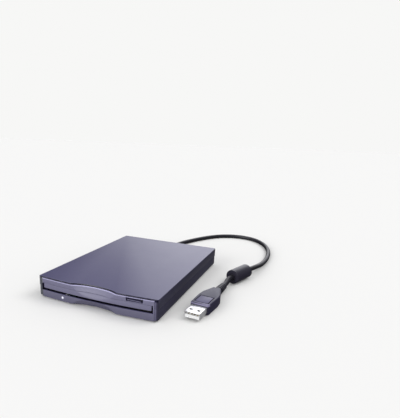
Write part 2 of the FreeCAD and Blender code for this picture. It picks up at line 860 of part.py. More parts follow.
def make_case_screws():
    """The two screws that draw the shells together at the back."""
    head_low = "seat_top - screw_head_tall"
    screws = [make_screw("case_screw", x, "post_y", head_low, "roof_low - tip_clear")
              for x in ("-post_x", "post_x")]
    return finish("case_screws", group("case_screw_set", screws))


def make_drive_screws():
    """The four screws that hold the chassis on the floor of the case."""
    head_low = "seat_top - screw_head_tall"
    screws = [make_screw("drive_screw", x, y, head_low, "tray_floor + tip_out")
              for x in ("-anchor_x", "anchor_x") for y in ("anchor_front_y", "anchor_back_y")]
    return finish("drive_screws", group("drive_screw_set", screws))


# --- front -----------------------------------------------------------------------

def make_bezel():
    """Hollow front moulding with the slot, the button opening and the ears."""
    outer = front_block("bezel_skin", "bezel_side", "foot_tall", "bezel_top", "bezel_back", "0")
    inner = front_block("bezel_core", "bezel_side - bezel_wall", "foot_tall + bezel_wall",
                        "bezel_top + 1", "bezel_back + 1", "bezel_wall")
    hollow = carve("bezel_hollow", outer, [inner])
    ears = [box("ear", ears_x, ("hinge_y - ear_reach", "bezel_back"),
                ("hinge_z - ear_reach", "bezel_top"))
            for ears_x in (("door_side + fit_gap", "bezel_side - root"),
                           ("root - bezel_side", "-door_side - fit_gap"))]
    eared = join("bezel_eared", [hollow] + ears)
    slot = box("slot", ("-slot_side", "slot_side"), ("front - 1", "hinge_y + slot_past"),
               ("slot_low", "slot_top"))
    button_hole = box("button_hole",
                      ("button_x - button_wide / 2 - button_gap",
                       "button_x + button_wide / 2 + button_shadow"),
                      ("front - 1", "button_back + 1"),
                      ("button_low - button_gap", "button_top + button_shadow"))
    lens_hole = rod("lens_hole", "y", ("lens_x", "front - 1", "lens_z"),
                    "lens_radius + pin_play", "bezel_deep")
    pins = [rod("pin_hole", "x", (start, "hinge_y", "hinge_z"), "hinge_pin + pin_play",
                "hinge_pin_long + pin_spare")
            for start in ("door_side", "-door_side - hinge_pin_long - pin_spare")]
    reliefs = [box("arm_relief", arms_x, ("hinge_y - arm_room_front", "hinge_y + arm_room_back"),
                   ("slot_top - arm_room_low", "bezel_top + 1"))
               for arms_x in (("door_side - arm_thick - arm_room_side", "door_side + fit_gap"),
                              ("-door_side - fit_gap",
                               "arm_thick + arm_room_side - door_side"))]
    whole = carve("bezel_cut", eared, [slot, button_hole, lens_hole] + pins + reliefs)
    return finish("front_bezel", whole)


def make_door():
    """Flap that follows the bowed front, on two arms with hinge pins."""
    plate = carve("door_plate",
                  front_block("door_face", "door_side", "door_low", "door_top",
                              "hinge_y", "door_inset"),
                  [front_block("door_hollow", "door_side + 1", "door_low - 1", "door_top + 1",
                               "hinge_y + 1", "(door_inset + door_thick)")])
    arms = []
    for label, inner, outward in (("right_arm", "door_side - arm_thick", 1),
                                  ("left_arm", "-door_side", -1)):
        arm = Moulding(label)
        arm.pad("YZ", inner, "%s + arm_thick" % inner,
                [("hinge_y - hinge_boss", "door_low + arm_low"),
                 ("hinge_y - arm_tip", "door_low + arm_low"),
                 ("hinge_y + arm_bend_back", "hinge_z - arm_bend_drop"),
                 ("hinge_y + hinge_boss", "hinge_z"),
                 ("hinge_y - hinge_boss", "hinge_z")])
        boss = rod(label + "_boss", "x", (inner, "hinge_y", "hinge_z"), "hinge_boss", "arm_thick")
        if outward > 0:
            start = "door_side - arm_thick - hinge_pin_long"
        else:
            start = "-door_side - hinge_pin_long"
        pin = rod(label + "_pin", "x", (start, "hinge_y", "hinge_z"), "hinge_pin",
                  "2 * hinge_pin_long + arm_thick")
        arms += [arm.body, boss, pin]
    return finish("slot_door", join("door_whole", [plate] + arms))


def make_door_spring():
    """Close-wound spring on the inner end of the right hinge pin, with its leg."""
    outer_end = "door_side - arm_thick - fit_gap / 2"
    inner_end = "%s - door_spring_long" % outer_end
    coil = sleeve("door_coil", "x", (inner_end, "hinge_y", "hinge_z"), "hinge_pin + pin_play",
                  "hinge_pin + pin_play + door_spring_wire", "door_spring_long")
    leg = box("door_spring_leg", (inner_end, outer_end),
              ("hinge_y - door_spring_wire / 2", "hinge_y + door_spring_wire / 2"),
              ("hinge_z - door_spring_reach", "hinge_z - hinge_pin - door_spring_wire / 2"))
    return finish("door_spring", join("door_spring_whole", [coil, leg]))


def make_button():
    """Key of the eject slide, with a seat for the tab of the slide."""
    key = Moulding("eject_button")
    key.pad("XY", "button_low", "button_top",
            rect("button_x - button_wide / 2", "button_x + button_wide / 2",
                 "button_front", "button_back"))
    key.pocket("XY", "tab_low", "button_top + 1",
               rect("button_x - tab_wide / 2", "button_x + tab_wide / 2",
                    "button_front + tab_seat", "button_back + 1"))
    face = size("button_inset") - size("case_deep") / 2
    key.round("button_round", lambda middle, along: near(middle.y, face))
    return key.finish()


def make_lens():
    """Light guide of the activity lamp, flanged behind the bezel."""
    stem = rod("lens_stem", "y", ("lens_x", "lens_front", "lens_z"), "lens_radius",
               "lens_long")
    collar = rod("lens_collar", "y", ("lens_x", "lens_back - collar_long", "lens_z"),
                 "lens_radius + collar_over", "collar_long")
    return finish("activity_lens", join("lens", [stem, collar]))


def make_led():
    """Lamp on the front tongue of the motor board."""
    return finish("led", box("led_block", ("lens_x - led_half", "lens_x + led_half"),
                             ("lens_back + led_gap", "lens_back + led_gap + led_long"),
                             ("board_top", "board_top + led_tall")))


# --- chassis and boards ------------------------------------------------------------

def make_chassis():
    """Folded steel tray that carries the whole mechanism."""
    tray = Moulding("drive_chassis")
    tray.pad("XY", "chassis_low", "chassis_top",
             rect("-tray_side", "tray_side", "chassis_front", "chassis_back"))
    tray.pocket("XY", "tray_floor", "chassis_top",
                rect("-tray_inside", "tray_inside", "chassis_front - 1",
                     "chassis_back - sheet"))
    tray.pocket("XY", "chassis_low", "tray_floor", ("0", "hub_y", "motor_hole"))
    tray.pocket("XY", "chassis_low", "tray_floor",
                rect("screw_x - stepper_radius - 1", "screw_x + stepper_radius + 1",
                     "stepper_front - root", "chassis_back - sheet"),
                rect("switch_x - switch_half - root", "switch_x + switch_half + root",
                     "switch_y - switch_half - root",
                     "switch_y + switch_pitch + switch_half + root"),
                rect("flex_left", "flex_right", "chassis_back - 6", "chassis_back - 4"))
    for pin_y in ("runner_front_y", "runner_back_y"):
        tray.pocket("YZ", "-tray_side - 1", "tray_side + 1",
                    rect("%s - runner_radius - runner_play" % pin_y,
                         "%s + runner_radius + runner_play" % pin_y,
                         "runner_z - holder_drop - runner_radius - runner_play",
                         "runner_z + runner_radius + runner_play"))
    tray.pocket("XZ", "chassis_back - 2", "chassis_back + 1",
                *[rect(left, right, "window_low", "window_high") for left, right in REAR_WINDOWS])
    tray.pocket("XY", "chassis_low - 1", "tray_floor + 1",
                *[(x, y, "screw_radius + pin_play") for x in ("-anchor_x", "anchor_x")
                  for y in ("anchor_front_y", "anchor_back_y")])
    # upright tabs for the guide rod and the lead screw
    tray.pad("XY", "tray_floor - 0.2", "rail_z + tab_half",
             rect("rail_x - tab_half", "rail_x + tab_half", "rail_front - sheet", "rail_front"),
             rect("screw_x - screw_tab_half", "screw_x + screw_tab_half",
                  "rail_front - sheet", "rail_front"))
    tray.pad("XY", "rail_z + 1", "screw_z + screw_tab_half",
             rect("screw_x - screw_tab_half", "screw_x + screw_tab_half",
                  "rail_front - sheet", "rail_front"))
    tray.pocket("XZ", "rail_front - 1", "rail_front + 0.1",
                ("screw_x", "screw_z", "bearing_ring"))
    # ledges that take the cover screws
    tray.pad("XY", "chassis_top - sheet", "chassis_top",
             *[rect(*edges, "%s - ledge_half" % y, "%s + ledge_half" % y)
               for edges in (("0.1 - tray_side", "ledge_wide - tray_side"),
                             ("tray_side - ledge_wide", "tray_side - 0.1"))
               for y in ("ledge_front_y", "ledge_back_y")])
    tray.pocket("XY", "chassis_top - 2", "chassis_top + 1",
                *[(x, y, "thread_hole") for x in ("-ledge_x", "ledge_x")
                  for y in ("ledge_front_y", "ledge_back_y")])
    # pressed feet that hold the boards under the tray
    tray.pad("XY", "board_top", "chassis_low + 0.2",
             *[(x, "hub_y + (%s)" % y, "board_foot") for x, y in HUB_FEET],
             *[(x, behind(y), "board_foot") for x, y in REAR_FEET])
    return tray.finish()


def make_cover():
    """Lid of the mechanism, notched for the tab of the slide."""
    lid = Moulding("chassis_cover")
    lid.pad("XY", "chassis_top", "cover_top",
            rect("-tray_side", "tray_side", "cover_front", "chassis_back"))
    lid.pocket("XY", "chassis_top - 1", "cover_top",
               rect("button_x - tab_wide / 2 - 1", "button_x + tab_wide / 2 + 1",
                    "cover_front - 1", "slide_front + notch_past"),
               *punched("cover"), ("0", "hub_y", "cover_eye"))
    lid.pocket("XY", "chassis_top - 1", "cover_top",
               *[(x, y, "thread_hole") for x in ("-ledge_x", "ledge_x")
                 for y in ("ledge_front_y", "ledge_back_y")])
    return lid.finish()


def make_cover_screws():
    """Four small screws through the cover into the ledges."""
    screws = []
    for x in ("-ledge_x", "ledge_x"):
        for y in ("ledge_front_y", "ledge_back_y"):
            head = rod("cover_head", "z", (x, y, "cover_top"), "cover_head", "cover_head_tall")
            shank = rod("cover_shank", "z", (x, y, "chassis_top - 1"), "cover_shank",
                        "cover_thick + 1.2")
            slot = box("cover_slot", ("%s - cover_slot_reach" % x, "%s + cover_slot_reach" % x),
                       ("%s - cover_slot_half" % y, "%s + cover_slot_half" % y),
                       ("cover_top + cover_head_tall / 2", "cover_top + 1"))
            screws.append(carve("cover_screw", join("cover_screw_body", [head, shank]), [slot]))
    return finish("cover_screws", group("cover_screw_set", screws))


def make_motor_board():
    """Round board under the rotor with a tongue for the lamp and one for switches."""
    board = Moulding("motor_board")
    board.pad("XY", "board_low", "board_top", ("0", "hub_y", "motor_board_radius"))
    board.pad("XY", "board_low", "board_top",
              rect("lens_x - 3", "lens_x + 8", "tongue_front", "hub_y - tongue_root"))
    board.pad("XY", "board_low", "board_top",
              rect("switch_x - 5", "switch_x + 4", "switch_y - 4", "hub_y - tongue_root"))
    board.pocket("XY", "board_low - 1", "board_top + 1", ("0", "hub_y", "bearing_radius"))
    return board.finish()


def make_coils():
    """Flat stator coils in a ring on the motor board."""
    coils = []
    count = int(size("coil_count"))
    for k in range(count):
        coil = Moulding("coil_%d" % k)
        coil.pad("XY", "board_top", "board_top + coil_tall",
                 wedge("coil_inner", "coil_outer", "coil_inner_half", "coil_outer_half"))
        coil.pocket("XY", "board_top - 1", "board_top + 2",
                    wedge("coil_eye_inner", "coil_eye_outer", "coil_eye_inner_half",
                          "coil_eye_outer_half"))
        bind(coil.body, "Placement.Base.y", "hub_y")
        bind(coil.body, "Placement.Rotation.Angle", "360 / coil_count * %d" % k)
        coils.append(coil.body)
    return finish("stator_coils", group("coil_set", coils))


def make_spindle():
    """Bearing, shaft, rotor dish with its magnets and the drive pin."""
    bearing = carve("bearing_cut",
                    rod("bearing", "z", ("0", "hub_y", "board_low - 0.2"), "bearing_radius",
                        "chassis_low - board_low - 0.2"),
                    [rod("bearing_bore", "z", ("0", "hub_y", "board_low - 1"),
                         "shaft_radius + pin_play", "10")])
    finish("spindle_bearing", bearing)
    finish("spindle_shaft", rod("shaft", "z", ("0", "hub_y", "board_low - 0.1"), "shaft_radius",
                                "shaft_top - board_low + 0.1"))
    disc = rod("disc", "z", ("0", "hub_y", "chassis_low"), "dish_radius",
               "dish_top - chassis_low")
    table = rod("table", "z", ("0", "hub_y", "dish_top - dish_sheet"), "table_radius",
                "table_top - dish_top + dish_sheet")
    hollow = rod("dish_hollow", "z", ("0", "hub_y", "chassis_low - 1"), "dish_radius - dish_sheet",
                 "dish_top - dish_sheet - chassis_low + 1")
    bore = rod("dish_bore", "z", ("0", "hub_y", "chassis_low - 1"), "shaft_radius", "5")
    dish = carve("dish", join("dish_body", [disc, table]), [hollow, bore])
    finish("rotor_dish", dish)
    magnet = carve("magnet",
                   rod("magnet_out", "z", ("0", "hub_y", "chassis_low"),
                       "dish_radius - dish_sheet - pin_play",
                       "dish_top - dish_sheet - chassis_low"),
                   [rod("magnet_in", "z", ("0", "hub_y", "chassis_low - 1"),
                        "dish_radius - dish_sheet - magnet_wide", "4")])
    finish("rotor_magnet", magnet)
    chuck = carve("chuck",
                  rod("chuck_out", "z", ("0", "hub_y", "table_top"), "table_radius - chuck_in",
                      "chuck_thick"),
                  [rod("chuck_bore", "z", ("0", "hub_y", "table_top - 1"), "chuck_bore", "4")])
    finish("hub_magnet", chuck)
    return finish("drive_pin", rod("pin", "z", ("table_radius - pin_in", "hub_y", "table_top"),
                                   "drive_pin_radius", "drive_pin_tall"))


# --- cartridge holder, slide and lever ----------------------------------------------

def make_holder():
    """Channel that guides the disk and lowers it on to the spindle."""
    tray = Moulding("holder_body")
    side = "holder_x - holder_side"
    tray.pad("XZ", "holder_front", "holder_back",
             [("-holder_x", "holder_low"), ("-holder_x + lip_wide", "holder_low"),
              ("-holder_x + lip_wide", "holder_low + holder_sheet"),
              (minus(side), "holder_low + holder_sheet"),
              (minus(side), "holder_top - holder_sheet"), (side, "holder_top - holder_sheet"),
              (side, "holder_low + holder_sheet"),
              ("holder_x - lip_wide", "holder_low + holder_sheet"),
              ("holder_x - lip_wide", "holder_low"), ("holder_x", "holder_low"),
              ("holder_x", "holder_top"), ("-holder_x", "holder_top")])
    for low, high in (("-holder_x", "-holder_x + lip_wide"), ("holder_x - lip_wide", "holder_x")):
        tray.pad("XY", "holder_low", "holder_low + holder_sheet",
                 rect(low, high, "lip_front", "holder_front + 1"))
    tray.pocket("XY", "holder_top - 1", "holder_top + 1",
                rect("-arm_slot_half", "arm_slot_half", "arm_slot_front", "holder_back + 1"))
    tray.pocket("XY", "holder_top - 1", "holder_top + 1",
                *punched("holder"))
    tray.pocket("XY", "holder_low - 1", "holder_top - 1",
                rect("-holder_x - 1", "-holder_x + lip_wide + 1", "holder_back - holder_notch",
                     "holder_back + 1"))
    tray.pocket("XY", "holder_low - 1", "holder_top - 1",
                rect("holder_x - lip_wide - 1", "holder_x + 1", "holder_back - holder_notch",
                     "holder_back + 1"))
    tray.pocket("XY", "holder_top - 1", "holder_top + 1",
                rect("screw_x - 3.6", "screw_x + 3.6", "rail_front - sheet - 0.8",
                     "holder_back + 1"))
    track = DOC.addObject("Part::Cylinder", "lever_track_out")
    eye = DOC.addObject("Part::Cylinder", "lever_track_in")
    for disc, radius, sweep in (
            (track, "lever_reach + lever_pin + track_play", "track_sweep"),
            (eye, "lever_reach - lever_pin - track_play", "track_sweep + 12")):
        bind(disc, "Radius", radius)
        bind(disc, "Height", "2")
        bind(disc, "Angle", sweep)
        bind(disc, "Placement.Base.x", "lever_x")
        bind(disc, "Placement.Base.y", "lever_y")
        bind(disc, "Placement.Base.z", "holder_top - 1")
        bind(disc, "Placement.Rotation.Angle", "lever_rest - 4")
    arc = carve("lever_track", track, [eye])
    rivet_hole = rod("rivet_hole", "z", ("lever_x", "lever_y", "holder_top - 1"),
                     "rivet_radius", "3")
    channel = carve("holder_slots", tray.body, [arc, rivet_hole])
    pins = [rod("runner", "x", (start, y, "runner_z"), "runner_radius", "runner_out + 0.1")
            for start in ("holder_x - 0.1", "-holder_x - runner_out")
            for y in ("runner_front_y", "runner_back_y")]
    return finish("cartridge_holder", join("holder_whole", [channel] + pins))


def make_slide():
    """Inverted channel with sloped slots; its tab carries the button."""
    slide = Moulding("eject_slide")
    slide.pad("XZ", "slide_front", "slide_back",
              [("-slide_x", "slide_low"), ("-slide_x + slide_side", "slide_low"),
               ("-slide_x + slide_side", "slide_floor"), ("slide_x - slide_side", "slide_floor"),
               ("slide_x - slide_side", "slide_low"), ("slide_x", "slide_low"),
               ("slide_x", "slide_top"), ("-slide_x", "slide_top")])
    slide.pocket("XY", "slide_floor - 1", "slide_top + 1",
                 rect("lever_room - slide_x", "lever_room_right", "lever_room_front",
                      "slide_back + 1"))
    slide.pocket("XY", "slide_floor - 1", "slide_top + 1", *punched("slide"))
    slope = "sqrt(slide_travel^2 + holder_drop^2)"
    along = ("slide_travel / (%s)" % slope, "-holder_drop / (%s)" % slope)
    reach = "(runner_radius + runner_play)"
    for pin_y in ("runner_front_y", "runner_back_y"):
        corners = []
        for ahead, aside in ((-1, -1), (1, -1), (1, 1), (-1, 1)):
            start_y = pin_y if ahead < 0 else "%s + slide_travel" % pin_y
            start_z = "runner_z" if ahead < 0 else "runner_z - holder_drop"
            corners.append((
                "%s + %s * (%d * (%s) - %d * (%s))" % (start_y, reach, ahead, along[0],
                                                      aside, along[1]),
                "%s + %s * (%d * (%s) + %d * (%s))" % (start_z, reach, ahead, along[1],
                                                      aside, along[0])))
        slide.pocket("YZ", "-slide_x - 1", "slide_x + 1", corners)
    slide.pad("XY", "slide_floor", "tab_top",
              rect("button_x - tab_wide / 2", "button_x + tab_wide / 2",
                   "slide_front", "slide_front + slide_side"))
    slide.pad("XY", "tab_low", "tab_top",
              rect("button_x - tab_wide / 2", "button_x + tab_wide / 2",
                   "button_front + tab_seat + fit_gap", "slide_front + slide_side"))
    return slide.finish()


def make_eject_springs():
    """Two close-wound springs in the windows of the slide."""
    springs = []
    for x in ("-spring_x", "spring_x"):
        coil = rod("spring_coil", "y", (x, "spring_front", "spring_z"), "spring_radius",
                   "spring_long")
        hooks = [sleeve("spring_eye", "x", ("%s - spring_wire / 2" % x, y, "spring_z"),
                        "spring_radius - spring_wire / 2", "spring_radius + spring_wire / 2",
                        "spring_wire")
                 for y in ("spring_front - spring_eye", "spring_front + spring_long + spring_eye")]
        springs.append(join("spring", [coil] + hooks))
    return finish("eject_springs", group("spring_set", springs))


def make_lever():
    """Lever that the disk pushes round: it opens the shutter and frees the slide."""
    low = "holder_top + lever_lift"
    high = "holder_top + lever_lift + lever_thick"
    lever = Moulding("shutter_lever")
    lever.pad("XY", low, high, rect("0", "lever_reach", "-lever_half", "lever_half"))
    lever.pad("XY", low, high, ("0", "0", "lever_boss"))
    lever.pad("XY", low, high, ("lever_reach", "0", "lever_end"))
    lever.pad("XY", "holder_top - lever_pin_drop", high, ("lever_reach", "0", "lever_pin"))
    lever.pocket("XY", "holder_top - 1", "holder_top + 2", ("0", "0", "rivet_radius + pin_play"))
    bind(lever.body, "Placement.Base.x", "lever_x")
    bind(lever.body, "Placement.Base.y", "lever_y")
    bind(lever.body, "Placement.Rotation.Angle", "lever_rest")
    lever.finish()
    shank = rod("rivet_shank", "z", ("lever_x", "lever_y", "holder_top - holder_sheet"),
                "rivet_radius",
                "holder_sheet + lever_thick + 0.1")
    head = rod("rivet_head", "z", ("lever_x", "lever_y", "holder_top + lever_thick + 0.1"),
               "rivet_head", "rivet_head_tall")
    finish("lever_pivot", join("rivet", [shank, head]))
    coil = sleeve("lever_coil", "z", ("lever_x", "lever_y", "holder_top + lever_thick + 0.15"),
                  "lever_coil_inner", "lever_coil_outer", "spring_wire")
    leg = box("lever_spring_leg", ("lever_x - lever_leg_from - lever_leg_long",
                                   "lever_x - lever_leg_from"),
              ("lever_y - 0.2", "lever_y + 0.2"),
              ("holder_top + lever_thick + 0.15", "holder_top + lever_thick + 0.45"))
    return finish("lever_spring", join("lever_spring_whole", [coil, leg]))


# --- heads and stepper ----------------------------------------------------------------

def make_carriage():
    """Moulded carriage on the guide rod, with the lower arm and the hinge ears."""
    frame = Moulding("carriage_frame")
    frame.pad("XY", "carriage_low", "carriage_low + frame_thick",
              rect("frame_left", "rail_x + 1.5", "carriage_front", "carriage_back"))
    frame.pad("XY", "carriage_low", "carriage_low + lower_arm_thick",
              rect("-lower_arm_half", "lower_arm_half", "head_y - 3", "carriage_front + 1"))
    frame.pad("XY", "carriage_low + 1", "screw_z - 0.2",
              rect("-13", "-11.5", "carriage_front", "carriage_front + 4"))
    frame.pad("XY", "screw_z - 0.8", "screw_z - 0.2",
              rect("screw_x + screw_shaft + 0.4", "-11.5", "carriage_front",
                   "carriage_front + 0.7"))
    frame.pad("XY", "carriage_low + 1", "arm_pivot_z + frame_thick",
              *[rect(left, right, "arm_pivot_y - ear_half", "arm_pivot_y + ear_half")
                for left, right in (("-ear_outer", "-ear_inner"), ("ear_inner", "ear_outer"))])
    frame.pad("XY", "flag_z - 0.15", "flag_z + 0.15",
              rect("rail_x + 1", "sensor_x + 3", "carriage_front + 2", "carriage_front + 5"))
    bush = rod("bush", "y", ("rail_x", "carriage_front", "rail_z"), "bush_radius",
               "carriage_back - carriage_front")
    bore = rod("bush_bore", "y", ("rail_x", "carriage_front - 1", "rail_z"),
               "rail_radius + pin_play", "carriage_back - carriage_front + 2")
    pin = rod("arm_pin", "x", ("-ear_outer", "arm_pivot_y", "arm_pivot_z"), "arm_pin",
              "2 * ear_outer")
    whole = carve("carriage_bored", join("carriage_raw", [frame.body, bush]), [bore])
    finish("head_carriage", join("carriage_whole", [whole, pin]))
    finish("lower_head", box("lower_head_block", ("-head_half_x", "head_half_x"),
                             ("head_y - head_half_y", "head_y + head_half_y"),
                             ("carriage_low + lower_arm_thick",
                              "carriage_low + lower_arm_thick + head_tall")))
    strip = Moulding("head_flex")
    strip.pad("XY", "carriage_low - flex_low", "carriage_low - flex_low + flex_thick",
              rect("flex_left", "flex_right", "carriage_back - 12", "carriage_back + flex_thick"))
    strip.pad("XY", "carriage_low - flex_low", "carriage_low + 1",
              rect("flex_left", "flex_right", "carriage_back", "carriage_back + flex_thick"))
    return strip.finish()


def make_upper_arm():
    """Hinged arm that presses the upper head on to the disk."""
    plate = Moulding("arm_plate")
    plate.pad("XY", "arm_pivot_z + arm_lift", "arm_pivot_z + arm_lift + arm_sheet",
              [("-arm_nose", "head_y - 2.2"), ("arm_nose", "head_y - 2.2"),
               ("arm_wide", "head_y + 12"), ("arm_wide", "arm_pivot_y"),
               ("-arm_wide", "arm_pivot_y"), ("-arm_wide", "head_y + 12")])
    plate.pocket("XY", "arm_pivot_z", "arm_pivot_z + 1",
                 rect("-1.6", "1.6", "head_y + 9", "arm_pivot_y - 5"))
    hub = rod("arm_hub", "x", ("-arm_wide", "arm_pivot_y", "arm_pivot_z"), "arm_pin + hub_over",
              "2 * arm_wide")
    bore = rod("arm_bore", "x", ("-arm_wide - 1", "arm_pivot_y", "arm_pivot_z"),
               "arm_pin + pin_play", "2 * arm_wide + 2")
    finish("upper_arm", carve("arm_bored", join("arm_raw", [plate.body, hub]), [bore]))
    finish("upper_head", box("upper_head_block", ("-head_half_x", "head_half_x"),
                             ("head_y - head_half_y", "head_y + head_half_y"),
                             ("arm_pivot_z - arm_lift", "arm_pivot_z + arm_lift")))
    coils = [sleeve("arm_coil", "x", (x, "arm_pivot_y", "arm_pivot_z"), "arm_pin + 0.3",
                    "arm_pin + 0.7", "0.4") for x in ("-5.8", "5.4")]
    return finish("arm_springs", group("arm_spring_set", coils))


def make_head_drive():
    """Guide rod with its clip, stepper, lead screw, bearing and track sensor."""
    end = "chassis_back - sheet"
    finish("guide_rod", rod("rail", "y", ("rail_x", "rail_front", "rail_z"), "rail_radius",
                            "%s - rail_front" % end))
    top = box("clamp_top", ("rail_x - 1.5", "rail_x + 2.8"), ("%s - 2" % end, end),
              ("rail_z + rail_radius", "rail_z + rail_radius + 0.4"))
    leg = box("clamp_leg", ("rail_x + 2.4", "rail_x + 2.8"), ("%s - 2" % end, end),
              ("tray_floor", "rail_z + rail_radius + 0.4"))
    finish("rod_clamp", join("clamp", [top, leg]))
    can = rod("can", "y", ("screw_x", "stepper_front + flange_thick", "screw_z"), "stepper_radius",
              "%s - stepper_front - flange_thick - 0.1" % end)
    flange = box("stepper_flange", ("screw_x - flange_half", "screw_x + flange_half"),
                 ("stepper_front", "stepper_front + flange_thick"),
                 ("tray_floor", "2 * screw_z - tray_floor"))
    nose = rod("stepper_bore", "y", ("screw_x", "stepper_front - 1", "screw_z"),
               "screw_shaft + pin_play", "3.5")
    finish("stepper_motor", carve("stepper", join("stepper_body", [can, flange]), [nose]))
    finish("lead_screw", rod("screw", "y", ("screw_x", "rail_front - sheet - 0.2", "screw_z"),
                             "screw_shaft", "stepper_front + 2.2 - rail_front + sheet"))
    shell = rod("bearing_shell", "y", ("screw_x", "rail_front - sheet", "screw_z"),
                "bearing_ring", "sheet")
    hole = rod("bearing_hole", "y", ("screw_x", "rail_front - 2", "screw_z"),
               "screw_shaft + pin_play", "4")
    finish("screw_bearing", carve("screw_bearing_cut", shell, [hole]))
    block = box("sensor_block", ("sensor_x", "sensor_x + 5"),
                ("carriage_front + 1", "carriage_front + 6"), ("tray_floor", "flag_z + 2.1"))
    gap = box("sensor_gap", ("sensor_x - 1", "sensor_x + 4"), ("carriage_front", "carriage_back"),
              ("flag_z - 0.5", "flag_z + 0.5"))
    return finish("track_zero_sensor", carve("sensor", block, [gap]))


def make_logic_board():
    """Drive electronics under the rear of the tray."""
    finish("logic_board", box("logic_plate", ("-logic_half", "logic_half"),
                              ("logic_front", "logic_back"), ("board_low", "board_top")))
    chips = [box("chip", (x - wide / 2, x + wide / 2),
                 (behind(y - deep / 2), behind(y + deep / 2)),
                 ("board_top", "board_top + chip_tall")) for x, y, wide, deep in CHIPS]
    finish("board_chips", group("chip_set", chips))
    switches = []
    for y in ("switch_y", "switch_y + switch_pitch"):
        body = box("switch_body", ("switch_x - switch_half", "switch_x + switch_half"),
                   ("%s - switch_half" % y, "%s + switch_half" % y),
                   ("board_top", "board_top + switch_tall"))
        plunger = rod("plunger", "z", ("switch_x", y, "board_top"), "plunger_radius",
                      "plunger_tall")
        switches.append(join("switch", [body, plunger]))
    finish("sensor_switches", group("switch_set", switches))
    sockets = [box("socket", ("-socket_half", "socket_half"), places,
                   ("board_top", "board_top + socket_tall"))
               for places in (("ribbon_front - 2.5", "ribbon_front"),
                              ("rear_board_front + ribbon_in", "rear_board_front + 4"))]
    finish("ribbon_connectors", group("socket_set", sockets))
    return finish("ribbon_cable", box("ribbon", ("-ribbon_half", "ribbon_half"),
                                      ("ribbon_front", "rear_board_front + ribbon_in"),
                                      ("board_top + 0.2", "board_top + 0.2 + ribbon_thick")))


def make_rear_board():
    """Interface board behind the mechanism."""
    finish("usb_board", box("rear_plate", ("rear_board_left", "rear_board_right"),
                            ("rear_board_front", "rear_board_back"),
                            ("board_low", "board_top")))
    finish("usb_controller", box("controller", ("18", "25"),
                                 ("rear_board_front + 1", "rear_board_front + 8"),
                                 ("board_top", "board_top + 1")))
    can = Moulding("crystal")
    can.pad("XY", "board_top", "board_top + 1.4",
            rect("29", "34", "rear_board_front + 3", "rear_board_front + 6"))
    can.round("1", upright)
    can.finish()
    return finish("cable_header", box("header", ("-24", "-16"),
                                      ("rear_board_front + 1.5", "rear_board_front + 5.5"),
                                      ("board_top", "board_top + 3")))


# --- lead and plug --------------------------------------------------------------------

def make_gland():
    """Grommet held in the back wall, with a tapered collar outside."""
    half = "gland_wide / 2"
    plate = box("gland_plate", ("gland_x - %s + 0.05" % half, "gland_x + %s - 0.05" % half),
                ("inside_y - gland_flange", "back + 0.2"), ("gland_low + 0.05", "parting - 0.05"))
    flange = box("gland_flange", ("gland_x - %s - 1" % half, "gland_x + %s + 1" % half),
                 ("inside_y - gland_flange", "inside_y - 0.1"),
                 ("gland_low - 0.8", "parting - 0.3"))
    collar = DOC.addObject("Part::Cone", "gland_collar")
    collar.Placement = FreeCAD.Placement(Vector(), TURNS["y"])
    bind(collar, "Radius1", "cord_radius + gland_rim")
    bind(collar, "Radius2", "cord_radius + gland_tip")
    bind(collar, "Height", "gland_end - back - 0.1")
    bind(collar, "Placement.Base.x", "gland_x")
    bind(collar, "Placement.Base.y", "back + 0.1")
    bind(collar, "Placement.Base.z", "gland_z")
    return finish("cable_gland", join("gland", [plate, flange, collar]))


LEAD_ROUTE = [
    (-8.0, 77.0, 7.6), (-8.05, 87.5, 7.4), (-7.9, 98.0, 4.9), (-7.0, 109.0, 2.55),
    (-4.9, 120.5, 2.35), (0.4, 134.0, 2.35), (7.8, 148.8, 2.35), (16.0, 163.0, 2.35),
    (26.5, 176.0, 2.35), (41.5, 185.2, 2.35), (58.5, 186.8, 2.35), (74.5, 180.0, 2.35),
    (87.0, 164.4, 2.35), (94.6, 145.4, 2.35), (98.2, 124.5, 2.35), (98.8, 102.5, 2.5),
    (97.0, 81.5, 3.7), (93.1, 63.2, 6.0), (88.374, 49.687, 6.4),
]
TAIL_ROUTE = [
    (80.56, 27.63, 6.4), (78.56, 21.97, 5.9), (78.41, 15.24, 4.45), (77.884, 9.761, 4.2),
]


def route_wire(points):
    """Straight runs joined by tangent arcs; prints the radii."""
    places = [Vector(*point) for point in points]
    edges = []
    radii = []
    last = places[0]
    for before, corner, after in zip(places, places[1:], places[2:]):
        toward = (corner - before).normalize()
        away = (after - corner).normalize()
        half_turn = toward.getAngle(away) / 2
        setback = 0.45 * min((corner - before).Length, (after - corner).Length)
        radius = setback / math.tan(half_turn)
        start = corner - toward * setback
        end = corner + away * setback
        inward = (away - toward).normalize()
        middle = corner + inward * (radius / math.cos(half_turn) - radius)
        edges.append(Part.LineSegment(last, start).toShape())
        edges.append(Part.Arc(start, middle, end).toShape())
        radii.append(radius)
        last = end
    edges.append(Part.LineSegment(last, places[-1]).toShape())
    print("radii", " ".join("%.0f" % radius for radius in radii))
    return Part.Wire(edges)


def make_cord(label, points):
    """Round tube swept along a route."""
    radius = size("cord_radius")
    path = route_wire(points)
    start = Vector(*points[0])
    heading = Vector(*points[1]) - start
    mouth = Part.Wire([Part.Circle(start, heading, radius).toShape()])
    tube = path.makePipeShell([mouth], True, False)
    expected = math.pi * radius ** 2 * path.Length
    print(label, "length %.1f volume ratio %.4f" % (path.Length, tube.Volume / expected))
    feature = DOC.addObject("Part::Feature", label)
    feature.Shape = tube
    return finish(label, feature)


